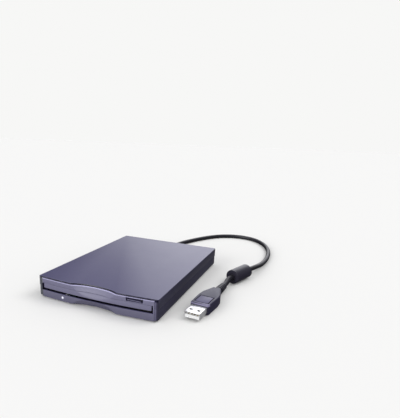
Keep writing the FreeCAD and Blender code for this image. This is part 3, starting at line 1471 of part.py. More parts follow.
def make_bead():
    """Moulded ferrite bead between the two stretches of the lead."""
    start = Vector(*TAIL_ROUTE[0])
    end = Vector(*LEAD_ROUTE[-1])
    bead = Moulding("ferrite_bead")
    bead.pad("XY", "0", "bead_long", ("0", "0", "bead_radius"))
    bead.round("bead_round", lambda middle, along: abs(along.z) < 0.1)
    bead.body.Placement = FreeCAD.Placement(start, Rotation(Vector(0, 0, 1), end - start))
    return bead.finish()


def plug_place():
    """Where the front of the plug moulding lies and how it is turned."""
    return FreeCAD.Placement(Vector(size("plug_x"), size("plug_y"), 0),
                             Rotation(Vector(0, 0, 1), size("plug_turn")))


def make_plug():
    """Type A plug: moulding, ribbed relief, metal shell, insert and contacts."""
    grip = Moulding("plug_housing")
    outline = [("plug_wide / 2 - plug_waist", "0"), ("plug_wide / 2 + plug_waist", "plug_long / 2"),
               ("plug_wide / 2 - plug_waist", "plug_long * plug_taper"),
               ("plug_neck + plug_end_over", "plug_long - plug_end_long"),
               ("plug_neck", "plug_long")]
    mirrored = [(minus(x), y) for x, y in reversed(outline)]
    grip.pad("XY", "plug_low", "plug_low + plug_tall", outline + mirrored)
    grip.round("plug_shoulder_round", lambda middle, along: upright(middle, along)
               and middle.y > 5 and abs(middle.x) > 5)
    low = size("plug_low")
    high = low + size("plug_tall")
    grip.round("plug_round", lambda middle, along: near(middle.z, low) or near(middle.z, high))
    grip.pocket("XY", "plug_low + plug_tall - moat_deep", "plug_low + plug_tall",
                rect("-panel_half", "panel_half", "panel_front", "panel_back"),
                rect("-panel_half + moat_wide", "panel_half - moat_wide",
                     "panel_front + moat_wide", "panel_back - moat_wide"))
    nose = "plug_wide / 2 - plug_waist - plug_step_in"
    grip.pocket("XZ", "-1", "plug_step_long",
                rect("-plug_wide", "plug_wide", "plug_low - 1", "plug_low + plug_tall + 1"),
                rect(minus(nose), nose, "plug_low + plug_step_in",
                     "plug_low + plug_tall - plug_step_in"))
    grip.body.Placement = plug_place()
    grip.finish()
    core = rod("relief_core", "y", ("0", "plug_long", "plug_mid"), "cord_radius + relief_core",
               "relief_long")
    ribs = []
    for k in range(int(size("relief_count"))):
        ribs.append(rod("relief_rib", "y",
                        ("0", "plug_long + %d * relief_long / relief_count" % k, "plug_mid"),
                        "cord_radius + relief_rib - %d * rib_step" % k, "rib_long"))
    relief = join("relief", [core] + ribs)
    relief.Placement = plug_place()
    finish("plug_strain_relief", relief)
    shell = Moulding("plug_shell")
    half = "plug_shell_wide / 2"
    rise = "plug_shell_tall / 2"
    inner = "%s - plug_shell_sheet" % half
    inner_rise = "%s - plug_shell_sheet" % rise
    shell.pad("XZ", "-plug_shell_long", "0",
              rect(minus(half), half, "plug_mid - %s" % rise, "plug_mid + %s" % rise),
              rect(minus(inner), inner, "plug_mid - (%s)" % inner_rise,
                   "plug_mid + (%s)" % inner_rise))
    shell.pocket("XY", "plug_low", "plug_low + plug_tall",
                 rect("-latch_outer", "-latch_inner", "-latch_front", "-latch_back"),
                 rect("latch_inner", "latch_outer", "-latch_front", "-latch_back"))
    shell.body.Placement = plug_place()
    shell.finish()
    insert = box("insert", (minus(inner), inner), ("insert_in - plug_shell_long", "0"),
                 ("plug_mid - (%s)" % inner_rise, "plug_mid - insert_drop"))
    inner_block = join("insert_block", [insert, box(
        "insert_back", (minus(inner), inner), ("-insert_back", "0"),
        ("plug_mid - 0.2", "plug_mid + (%s)" % inner_rise))])
    inner_block.Placement = plug_place()
    finish("plug_insert", inner_block)
    strips = [box("contact", ("%s - contact_half" % x, "%s + contact_half" % x),
                  ("contact_in - plug_shell_long", "-insert_back"),
                  ("plug_mid - insert_drop", "plug_mid + contact_rise")) for x in CONTACTS]
    contacts = group("contact_set", strips)
    contacts.Placement = plug_place()
    return finish("plug_contacts", contacts)


# --- checks and export ------------------------------------------------------------------

def check_document():
    """Stop if any object failed or any sub-part is empty or broken."""
    for thing in DOC.Objects:
        if "Invalid" in thing.State or "Error" in thing.State:
            raise RuntimeError("%s (%s) failed to build" % (thing.Label, thing.Name))
    for thing in FINISHED:
        if thing.Shape.isNull() or not thing.Shape.isValid() or thing.Shape.Volume <= 0:
            raise RuntimeError("%s has no sound shape" % thing.Label)


def main():
    """Build every sub-part and write it to its own file."""
    fill_sheet()
    make_upper_shell()
    make_lower_shell()
    make_feet()
    make_case_screws()
    make_drive_screws()
    make_bezel()
    make_door()
    make_door_spring()
    make_button()
    make_lens()
    make_led()
    make_chassis()
    make_cover()
    make_cover_screws()
    make_motor_board()
    make_coils()
    make_spindle()
    make_holder()
    make_slide()
    make_eject_springs()
    make_lever()
    make_carriage()
    make_upper_arm()
    make_head_drive()
    make_logic_board()
    make_rear_board()
    make_gland()
    make_cord("usb_cord", LEAD_ROUTE)
    make_cord("usb_cord_tail", TAIL_ROUTE)
    make_bead()
    make_plug()
    DOC.recompute()
    check_document()
    os.makedirs("parts", exist_ok=True)
    for thing in FINISHED:
        thing.Shape.exportStep("parts/%s.step" % thing.Label)
    print(len(FINISHED), "sub-parts written")


main()
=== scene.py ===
"""Dressed model of a slim external floppy disk drive with its lead and plug.

The objects are in metres, in the frame of the solids: +Z up, -Y the bowed front, +X the
right-hand side. Sizes in the classes are in millimetres unless they say otherwise.
"""

import json
import logging
import math
from dataclasses import dataclass, field
from enum import Enum
from typing import Any, Callable

import bmesh
import bpy
from mathutils import Matrix, Vector

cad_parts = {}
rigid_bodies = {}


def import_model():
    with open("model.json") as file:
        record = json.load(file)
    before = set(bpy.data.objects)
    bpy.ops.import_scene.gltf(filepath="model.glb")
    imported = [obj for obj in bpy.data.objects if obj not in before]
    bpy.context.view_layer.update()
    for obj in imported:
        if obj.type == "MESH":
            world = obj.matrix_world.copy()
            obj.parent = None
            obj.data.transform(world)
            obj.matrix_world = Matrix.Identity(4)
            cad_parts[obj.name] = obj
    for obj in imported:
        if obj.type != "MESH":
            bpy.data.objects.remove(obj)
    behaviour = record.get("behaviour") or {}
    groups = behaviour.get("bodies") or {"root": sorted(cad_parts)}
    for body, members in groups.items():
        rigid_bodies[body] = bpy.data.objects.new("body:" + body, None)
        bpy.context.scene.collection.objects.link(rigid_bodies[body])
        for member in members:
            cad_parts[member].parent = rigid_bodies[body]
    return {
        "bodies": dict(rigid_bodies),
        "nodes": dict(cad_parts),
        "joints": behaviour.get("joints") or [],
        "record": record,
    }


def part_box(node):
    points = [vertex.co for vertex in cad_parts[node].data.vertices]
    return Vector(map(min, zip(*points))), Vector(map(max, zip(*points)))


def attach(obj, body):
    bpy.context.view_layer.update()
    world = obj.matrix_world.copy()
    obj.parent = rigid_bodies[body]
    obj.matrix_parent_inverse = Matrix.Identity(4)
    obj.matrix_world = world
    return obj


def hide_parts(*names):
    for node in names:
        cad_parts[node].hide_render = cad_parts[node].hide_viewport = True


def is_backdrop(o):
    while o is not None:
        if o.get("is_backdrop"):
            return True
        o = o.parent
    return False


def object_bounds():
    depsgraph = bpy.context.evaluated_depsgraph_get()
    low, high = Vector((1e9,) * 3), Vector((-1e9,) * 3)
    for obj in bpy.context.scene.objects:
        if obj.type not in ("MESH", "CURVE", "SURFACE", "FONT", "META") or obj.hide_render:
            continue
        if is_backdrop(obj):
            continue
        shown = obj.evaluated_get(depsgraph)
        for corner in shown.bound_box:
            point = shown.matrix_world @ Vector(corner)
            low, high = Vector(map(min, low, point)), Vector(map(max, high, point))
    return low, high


MM = 0.001
MERGE_WITHIN = 0.002    # corners of a solid nearer than this are one, in millimetres
FLAT_WITHIN = 0.4       # faces that meet flatter than this are one, in degrees
LOG = logging.getLogger("drive")

Colour = tuple[float, float, float]
Point = tuple[float, float, float]
Stops = tuple[tuple[float, float], ...]
Tree = bpy.types.ShaderNodeTree
Node = bpy.types.ShaderNode
Socket = bpy.types.NodeSocket


# --- helpers -----------------------------------------------------------------------------


def deselect() -> None:
    """Leave edit mode and select nothing."""
    if bpy.context.object and bpy.context.object.mode != "OBJECT":
        bpy.ops.object.mode_set(mode="OBJECT")
    for item in bpy.context.selected_objects:
        item.select_set(False)


def take(item: bpy.types.Object) -> bpy.types.Object:
    """Make one object the only selected and the active one.

    Args:
        item: The object.

    Returns:
        The object.
    """
    deselect()
    item.select_set(True)
    bpy.context.view_layer.objects.active = item
    return item


def settle(item: bpy.types.Object) -> None:
    """Move an object's place, turn and scale into its mesh."""
    take(item)
    bpy.ops.object.transform_apply(location=True, rotation=True, scale=True)


def apply_modifier(item: bpy.types.Object, kind: str, **settings: object) -> None:
    """Add one modifier with its settings and apply it.

    Args:
        item: The mesh object.
        kind: The modifier's type name.
        settings: Values of the modifier's properties.
    """
    take(item)
    modifier = item.modifiers.new(kind.lower(), kind)
    for name, value in settings.items():
        setattr(modifier, name, value)
    bpy.ops.object.modifier_apply(modifier=modifier.name)


def choose_faces(item: bpy.types.Object, wanted: Callable[[bmesh.types.BMFace], bool]) -> None:
    """Enter edit mode with only the wanted faces selected.

    Args:
        item: The mesh object.
        wanted: Says whether a face is selected.
    """
    take(item)
    bpy.ops.object.mode_set(mode="EDIT")
    bpy.ops.mesh.select_mode(type="FACE")
    bpy.ops.mesh.select_all(action="DESELECT")
    mesh = bmesh.from_edit_mesh(item.data)
    for face in mesh.faces:
        face.select_set(wanted(face))
    bmesh.update_edit_mesh(item.data)


def leave_edit() -> None:
    """Go back to object mode."""
    bpy.ops.object.mode_set(mode="OBJECT")


def smooth(item: bpy.types.Object, angle: float = 38.0) -> None:
    """Shade a piece smooth where its faces meet gently.

    Args:
        item: The mesh object.
        angle: Edges flatter than this many degrees are shaded smooth.
    """
    take(item)
    bpy.ops.object.shade_smooth_by_angle(angle=math.radians(angle))


def join(name: str, items: list[bpy.types.Object]) -> bpy.types.Object:
    """Several meshes as one named piece.

    Args:
        name: The piece's name.
        items: The meshes.

    Returns:
        The piece.
    """
    take(items[0])
    for item in items[1:]:
        item.select_set(True)
    bpy.ops.object.join()
    items[0].name = name
    return items[0]


# --- shared shader groups ----------------------------------------------------------------


class Groups:
    """Shader node groups that several finishes use."""

    SWELL_SCALE = 0.35       # of the grain's own scale
    SWELL_SHARE = 0.6
    SMEAR_SCALE = 55.0
    SMEAR_SHARE = 0.75
    DUST_SCALE = 2400.0
    DUST_SHARE = 0.25
    LINE_STRETCH = (0.03, 1.0, 1.0)
    TRACK_GAP = 0.06
    TRACK_LENGTH = 1.7
    UNTONED = (1.0, 1.0, 1.0, 1.0)

    def __init__(self) -> None:
        """Build every group once."""
        self.grain = self.make_grain()
        self.drift = self.make_drift()
        self.handling = self.make_handling()
        self.drawn = self.make_drawn()
        self.tracks = self.make_tracks()
        self.zone = self.make_zone()

    @staticmethod
    def start(name: str, inputs: dict[str, object],
              outputs: dict[str, str]) -> tuple[Tree, Node, Node]:
        """Begin a node group.

        Args:
            name: The group's name.
            inputs: Default value of each input; a number, a colour or None for a vector.
            outputs: Socket type of each output.

        Returns:
            The tree, its input node and its output node.
        """
        tree = bpy.data.node_groups.new(name, "ShaderNodeTree")
        for label, value in inputs.items():
            kind = ("NodeSocketVector" if value is None
                    else "NodeSocketColor" if isinstance(value, tuple) else "NodeSocketFloat")
            socket = tree.interface.new_socket(label, in_out="INPUT", socket_type=kind)
            if value is not None:
                socket.default_value = value
        for label, kind in outputs.items():
            tree.interface.new_socket(label, in_out="OUTPUT", socket_type=kind)
        return tree, tree.nodes.new("NodeGroupInput"), tree.nodes.new("NodeGroupOutput")

    @staticmethod
    def feed(tree: Tree, value: Socket | float, socket: Socket) -> None:
        """Link a socket or set a number.

        Args:
            tree: The node tree.
            value: A socket to link or a number to set.
            socket: The input that takes it.
        """
        if isinstance(value, (int, float)):
            socket.default_value = value
        else:
            tree.links.new(value, socket)

    @staticmethod
    def noise(tree: Tree, vector: Socket, scale: Socket | float, detail: float = 3.0,
              roughness: float = 0.55) -> Socket:
        """One noise texture.

        Args:
            tree: The node tree.
            vector: The coordinates.
            scale: Its scale, a socket or a number.
            detail: Number of octaves.
            roughness: Strength of the finer octaves.

        Returns:
            The noise, from 0 to 1.
        """
        node = tree.nodes.new("ShaderNodeTexNoise")
        node.inputs["Detail"].default_value = detail
        node.inputs["Roughness"].default_value = roughness
        tree.links.new(vector, node.inputs["Vector"])
        Groups.feed(tree, scale, node.inputs["Scale"])
        return node.outputs["Fac"]

    @staticmethod
    def reckon(tree: Tree, operation: str, first: Socket | float, second: Socket | float,
               clamp: bool = False) -> Socket:
        """One math node.

        Args:
            tree: The node tree.
            operation: The node's operation.
            first: First operand.
            second: Second operand.
            clamp: Whether the result is kept between 0 and 1.

        Returns:
            The result.
        """
        node = tree.nodes.new("ShaderNodeMath")
        node.operation = operation
        node.use_clamp = clamp
        Groups.feed(tree, first, node.inputs[0])
        Groups.feed(tree, second, node.inputs[1])
        return node.outputs[0]

    @staticmethod
    def reckon_vector(tree: Tree, operation: str, first: Socket,
                      second: Socket | None = None) -> Socket:
        """One vector math node.

        Args:
            tree: The node tree.
            operation: The node's operation.
            first: First operand.
            second: Second operand, if the operation has one; for SCALE, the factor.

        Returns:
            The result.
        """
        node = tree.nodes.new("ShaderNodeVectorMath")
        node.operation = operation
        tree.links.new(first, node.inputs[0])
        if second is not None:
            tree.links.new(second, node.inputs["Scale" if operation == "SCALE" else 1])
        return node.outputs[0]

    def make_grain(self) -> Tree:
        """Spark-eroded grain: fine pits under a slightly coarser swell.

        Returns:
            The group.
        """
        tree, given, out = self.start("spark_grain", {"Vector": None, "Scale": 3000.0},
                                      {"Height": "NodeSocketFloat"})
        pits = self.noise(tree, given.outputs["Vector"], given.outputs["Scale"], 4.0, 0.65)
        coarse = self.reckon(tree, "MULTIPLY", given.outputs["Scale"], self.SWELL_SCALE)
        swell = self.noise(tree, given.outputs["Vector"], coarse, 2.0)
        swell = self.reckon(tree, "MULTIPLY", swell, self.SWELL_SHARE)
        tree.links.new(self.reckon(tree, "ADD", pits, swell), out.inputs["Height"])
        return tree

    def make_drift(self) -> Tree:
        """Slow change of tone over a surface.

        Returns:
            The group.
        """
        tree, given, out = self.start(
            "drifting_tone", {"Vector": None, "Colour": (0.5, 0.5, 0.5, 1.0), "Scale": 40.0,
                              "Amount": 0.1}, {"Colour": "NodeSocketColor"})
        cloud = self.noise(tree, given.outputs["Vector"], given.outputs["Scale"], 3.0)
        centred = self.reckon(tree, "SUBTRACT", cloud, 0.5)
        swing = self.reckon(tree, "MULTIPLY", centred, given.outputs["Amount"])
        gain = self.reckon(tree, "ADD", self.reckon(tree, "MULTIPLY", swing, 2.0), 1.0)
        tree.links.new(self.reckon_vector(tree, "SCALE", given.outputs["Colour"], gain),
                       out.inputs["Colour"])
        return tree

    def make_handling(self) -> Tree:
        """Roughness broken up by faint smears and fine dust.

        Returns:
            The group.
        """
        tree, given, out = self.start(
            "handled_gloss", {"Vector": None, "Roughness": 0.4, "Amount": 0.1},
            {"Roughness": "NodeSocketFloat"})
        smear = self.noise(tree, given.outputs["Vector"], self.SMEAR_SCALE, 5.0, 0.6)
        dust = self.noise(tree, given.outputs["Vector"], self.DUST_SCALE, 1.0)
        mixed = self.reckon(tree, "ADD",
                            self.reckon(tree, "MULTIPLY", smear, self.SMEAR_SHARE),
                            self.reckon(tree, "MULTIPLY", dust, self.DUST_SHARE))
        centred = self.reckon(tree, "SUBTRACT", mixed, 0.5)
        swing = self.reckon(tree, "MULTIPLY", centred, given.outputs["Amount"])
        tree.links.new(self.reckon(tree, "ADD", given.outputs["Roughness"], swing),
                       out.inputs["Roughness"])
        return tree

    def make_drawn(self) -> Tree:
        """Lines of rolled sheet, long across X.

        Returns:
            The group.
        """
        tree, given, out = self.start("drawn_lines", {"Vector": None, "Scale": 900.0},
                                      {"Height": "NodeSocketFloat"})
        stretch = tree.nodes.new("ShaderNodeMapping")
        stretch.inputs["Scale"].default_value = self.LINE_STRETCH
        tree.links.new(given.outputs["Vector"], stretch.inputs["Vector"])
        lines = self.noise(tree, stretch.outputs["Vector"], given.outputs["Scale"], 3.0, 0.7)
        tree.links.new(lines, out.inputs["Height"])
        return tree

    def make_tracks(self) -> Tree:
        """Mask of conductor tracks under solder mask.

        Returns:
            The group.
        """
        tree, given, out = self.start("board_tracks", {"Vector": None, "Scale": 160.0},
                                      {"Mask": "NodeSocketFloat"})
        bricks = tree.nodes.new("ShaderNodeTexBrick")
        bricks.inputs["Mortar Size"].default_value = self.TRACK_GAP
        bricks.inputs["Brick Width"].default_value = self.TRACK_LENGTH
        tree.links.new(given.outputs["Vector"], bricks.inputs["Vector"])
        tree.links.new(given.outputs["Scale"], bricks.inputs["Scale"])
        tree.links.new(bricks.outputs["Fac"], out.inputs["Mask"])
        return tree

    def make_zone(self) -> Tree:
        """Colour multiplied by a tone inside a box with soft sides.

        Returns:
            The group.
        """
        tree, given, out = self.start(
            "toned_zone", {"Vector": None, "Colour": (0.5, 0.5, 0.5, 1.0), "Middle": None,
                           "Half": None, "Tone": (1.0, 1.0, 1.0, 1.0), "Softness": 0.0003},
            {"Colour": "NodeSocketColor"})
        offset = self.reckon_vector(tree, "SUBTRACT", given.outputs["Vector"],
                                    given.outputs["Middle"])
        offset = self.reckon_vector(tree, "ABSOLUTE", offset)
        past = self.reckon_vector(tree, "SUBTRACT", offset, given.outputs["Half"])
        sides = tree.nodes.new("ShaderNodeSeparateXYZ")
        tree.links.new(past, sides.inputs[0])
        farthest = self.reckon(tree, "MAXIMUM", sides.outputs["Y"], sides.outputs["Z"])
        farthest = self.reckon(tree, "MAXIMUM", sides.outputs["X"], farthest)
        edges = self.reckon(tree, "DIVIDE", farthest, given.outputs["Softness"])
        outside = self.reckon(tree, "ADD", 0.5, edges, clamp=True)
        gain = tree.nodes.new("ShaderNodeMix")
        gain.data_type = "RGBA"
        tree.links.new(outside, gain.inputs["Factor"])
        tree.links.new(given.outputs["Tone"], gain.inputs["A"])
        gain.inputs["B"].default_value = self.UNTONED
        toned = self.reckon_vector(tree, "MULTIPLY", given.outputs["Colour"],
                                   gain.outputs["Result"])
        tree.links.new(toned, out.inputs["Colour"])
        return tree


# --- finishes ----------------------------------------------------------------------------


class Texture(Enum):
    """What gives a surface its relief."""

    SPARK = "spark"
    DRAWN = "drawn"
    TRACKS = "tracks"


@dataclass(frozen=True)
class Zone:
    """A box in millimetres inside which a finish takes another tone of painted light or shade,
    with soft sides.
    """

    low: Point
    high: Point
    tone: Colour
    soft: float = 0.3


@dataclass(frozen=True)
class Finish:
    """One finish and the material that carries it."""

    colour: Colour
    roughness: float
    metallic: float = 0.0
    texture: Texture = Texture.SPARK
    scale: float = 3000.0
    relief: float = 0.02
    drift: float = 0.06
    smears: float = 0.1
    sheen: float = 0.0
    # Emission that paints light onto a part.
    painted_glow: float = 0.0
    clear: float = 0.0
    zones: tuple[Zone, ...] = ()

    def material(self, name: str, groups: Groups) -> bpy.types.Material:
        """Build the node material.

        Args:
            name: The material's name.
            groups: The shared node groups.

        Returns:
            The finished material.
        """
        made = bpy.data.materials.new(name)
        made.use_nodes = True
        tree = made.node_tree
        shader = tree.nodes["Principled BSDF"]
        place = tree.nodes.new("ShaderNodeTexCoord").outputs["Object"]
        self.set_plain_values(shader)
        colour, height = self.texture_over(tree, groups, place,
                                           self.toned_colour(tree, groups, place))
        tree.links.new(colour, shader.inputs["Base Color"])
        gloss = self.use(tree, groups.handling, place)
        gloss.inputs["Roughness"].default_value = self.roughness
        gloss.inputs["Amount"].default_value = self.smears
        tree.links.new(gloss.outputs["Roughness"], shader.inputs["Roughness"])
        bump = tree.nodes.new("ShaderNodeBump")
        bump.inputs["Strength"].default_value = 1.0
        bump.inputs["Distance"].default_value = self.relief * MM
        tree.links.new(height, bump.inputs["Height"])
        tree.links.new(bump.outputs["Normal"], shader.inputs["Normal"])
        return made

    def set_plain_values(self, shader: Node) -> None:
        """Set what is the same all over the surface.

        Args:
            shader: The material's shader.
        """
        shader.inputs["Metallic"].default_value = self.metallic
        shader.inputs["Sheen Weight"].default_value = self.sheen
        shader.inputs["Transmission Weight"].default_value = self.clear
        if self.painted_glow:
            shader.inputs["Emission Color"].default_value = (*self.colour, 1.0)
            shader.inputs["Emission Strength"].default_value = self.painted_glow

    def toned_colour(self, tree: Tree, groups: Groups, place: Socket) -> Socket:
        """The colour with its slow drift and the light and shade painted in its boxes.

        Args:
            tree: The node tree.
            groups: The shared node groups.
            place: The coordinates.

        Returns:
            The colour.
        """
        drift = self.use(tree, groups.drift, place)
        drift.inputs["Colour"].default_value = (*self.colour, 1.0)
        drift.inputs["Amount"].default_value = self.drift
        colour = drift.outputs["Colour"]
        for zone in self.zones:
            colour = self.tone_zone(tree, groups, place, colour, zone)
        return colour

    def texture_over(self, tree: Tree, groups: Groups, place: Socket,
                     colour: Socket) -> tuple[Socket, Socket]:
        """Lay the texture over the colour.

        Args:
            tree: The node tree.
            groups: The shared node groups.
            place: The coordinates.
            colour: The colour under the texture.

        Returns:
            The colour with the texture and the height of its relief.
        """
        if self.texture is Texture.TRACKS:
            tracks = self.use(tree, groups.tracks, place)
            mix = tree.nodes.new("ShaderNodeMix")
            mix.data_type = "RGBA"
            tree.links.new(tracks.outputs["Mask"], mix.inputs["Factor"])
            tree.links.new(colour, mix.inputs["A"])
            mix.inputs["B"].default_value = (*TRACK_COLOUR, 1.0)
            return mix.outputs["Result"], tracks.outputs["Mask"]
        relief = groups.drawn if self.texture is Texture.DRAWN else groups.grain
        grain = self.use(tree, relief, place)
        grain.inputs["Scale"].default_value = self.scale
        return colour, grain.outputs["Height"]

    def tone_zone(self, tree: Tree, groups: Groups, place: Socket, colour: Socket,
                  zone: Zone) -> Socket:
        """Change the tone inside one box.

        Args:
            tree: The node tree.
            groups: The shared node groups.
            place: The coordinates.
            colour: The colour so far.
            zone: The box and its tone.

        Returns:
            The colour with the box toned.
        """
        low, high = Vector(zone.low) * MM, Vector(zone.high) * MM
        node = self.use(tree, groups.zone, place)
        node.inputs["Middle"].default_value = (low + high) / 2
        node.inputs["Half"].default_value = (high - low) / 2
        node.inputs["Tone"].default_value = (*zone.tone, 1.0)
        node.inputs["Softness"].default_value = zone.soft * MM
        tree.links.new(colour, node.inputs["Colour"])
        return node.outputs["Colour"]

    @staticmethod
    def use(tree: Tree, group: Tree, place: Socket) -> Node:
        """Place a shared group in a material.

        Args:
            tree: The material's node tree.
            group: The shared group.
            place: The coordinates that it works on.

        Returns:
            The group's node.
        """
        node = tree.nodes.new("ShaderNodeGroup")
        node.node_tree = group
        tree.links.new(place, node.inputs["Vector"])
        return node


TRACK_COLOUR: Colour = (0.03, 0.11, 0.06)
CASE_COLOUR: Colour = (0.033, 0.031, 0.056)
# Partly the front mouldings' own lighter grey, partly painted light: the front is lit far more
# than the case colour.
FRONT_COLOUR: Colour = (0.152, 0.145, 0.226)
MOULDED: dict[str, float] = dict(relief=0.004, scale=4200.0, drift=0.03)
STEEL: dict[str, Any] = dict(metallic=1.0, texture=Texture.DRAWN, scale=900.0, relief=0.004)

# Each box paints light or shade: its lowest and highest corner, its tone and how soft its
# sides are.
# Painted light: the top face of the upper shell is made lighter and bluer than its sides, as
# the light and reflection on the roof.
ROOF_PAINTED_LIGHT = Zone((-60, -80, 17.36), (60, 80, 20), (2.2, 2.2, 2.48), 0.25)
# Painted shade: dark band in the gap under the roof's front lip.
LIP_PAINTED_SHADE = Zone((-49.5, -80, 15.5), (51.5, -60, 17.36), (0.12, 0.10, 0.30), 0.2)
# Painted light: the left front cheek of the shells is made lighter and greener, as lit from
# the front.
LEFT_CHEEK_PAINTED_LIGHT = Zone((-54, -80, -1), (-48.9, -68.0, 17.2), (2.5, 2.8, 1.8), 0.6)
# Painted light: the right front cheek of the shells is made lighter, as lit from the front.
RIGHT_CHEEK_PAINTED_LIGHT = Zone((48.5, -80, -1), (50.3, -68.0, 16.4), (3.0, 3.0, 2.8), 0.8)
# Painted shade: the bezel's left end is made darker and greener where it meets the cheek.
LEFT_END_PAINTED_SHADE = Zone((-50, -80, -1), (-48.1, 0, 17), (0.86, 0.92, 0.66), 0.3)
# Painted shade: the bezel is darker below the slot, as light from above leaves it.
LOWER_LIP_PAINTED_SHADE = Zone((-60, -80, -1), (60, 0, 6.2), (0.77, 0.77, 0.77), 0.6)
# Painted shade: dark band in the slot under the door.
SLOT_PAINTED_SHADE = Zone((-48.25, -80, 6.4), (48.25, 0, 8.4), (0.28, 0.26, 0.46), 0.3)
# Painted shade: darker still at the slot's left end.
SLOT_END_PAINTED_SHADE = Zone((-49.0, -80, 6.4), (-47.0, 0, 11.9), (0.10, 0.09, 0.20), 0.4)
# Painted highlight: light line along the top edge of the bezel and the door.
TOP_EDGE_PAINTED_HIGHLIGHT = Zone((-49, -80, 15.72), (49, -60, 16.6), (2.7, 2.7, 2.6), 0.3)
# Painted shade: the lining of the eject button's hole is darker.
KEY_HOLE_PAINTED_SHADE = Zone((27.3, -80, 12.9), (40.4, 0, 15.8), (0.4, 0.38, 0.5), 0.2)
# Painted shadow: dark band across the top of the recessed eject button.
KEY_TOP_PAINTED_SHADOW = Zone((27.0, -80, 13.9), (40.5, 0, 15.6), (0.06, 0.05, 0.14), 0.3)
# Painted shade: the right end of the eject button is darker.
KEY_END_PAINTED_SHADE = Zone((38.7, -80, 13.0), (40.5, 0, 15.6), (0.12, 0.11, 0.22), 0.6)
# Painted shade: dark groove round the plug's panel.
MOAT_PAINTED_SHADE = Zone((67.0, -40.6, 7.2), (80.7, -24.5, 8.0), (0.12, 0.12, 0.12), 0.15)
# Painted light: the plug's recessed panel is made lighter.
PANEL_PAINTED_LIGHT = Zone((67.9, -39.6, 7.9), (79.9, -26.9, 9), (2.3, 2.2, 2.4), 0.5)
# Painted light: the nose of the plug is made much lighter.
PLUG_NOSE_PAINTED_LIGHT = Zone((60, -45, 7.0), (86, -39.8, 9), (6.5, 6.4, 5.0), 0.5)
# Painted shade: the front of the board is darker where it is seen through the slot.
BOARD_FRONT_PAINTED_SHADE = Zone((-60, -80, 0), (60, -57, 9), (0.30, 0.12, 0.30), 1.0)

# Painted shade: dark bands in the grooves between the strain relief's ribs.
GROOVES_PAINTED_SHADE = tuple(Zone((70, low, 0), (83, low + 0.9, 9), (0.10, 0.10, 0.12), 0.3)
                for low in (-3.6, -1.0, 1.6, 4.2))

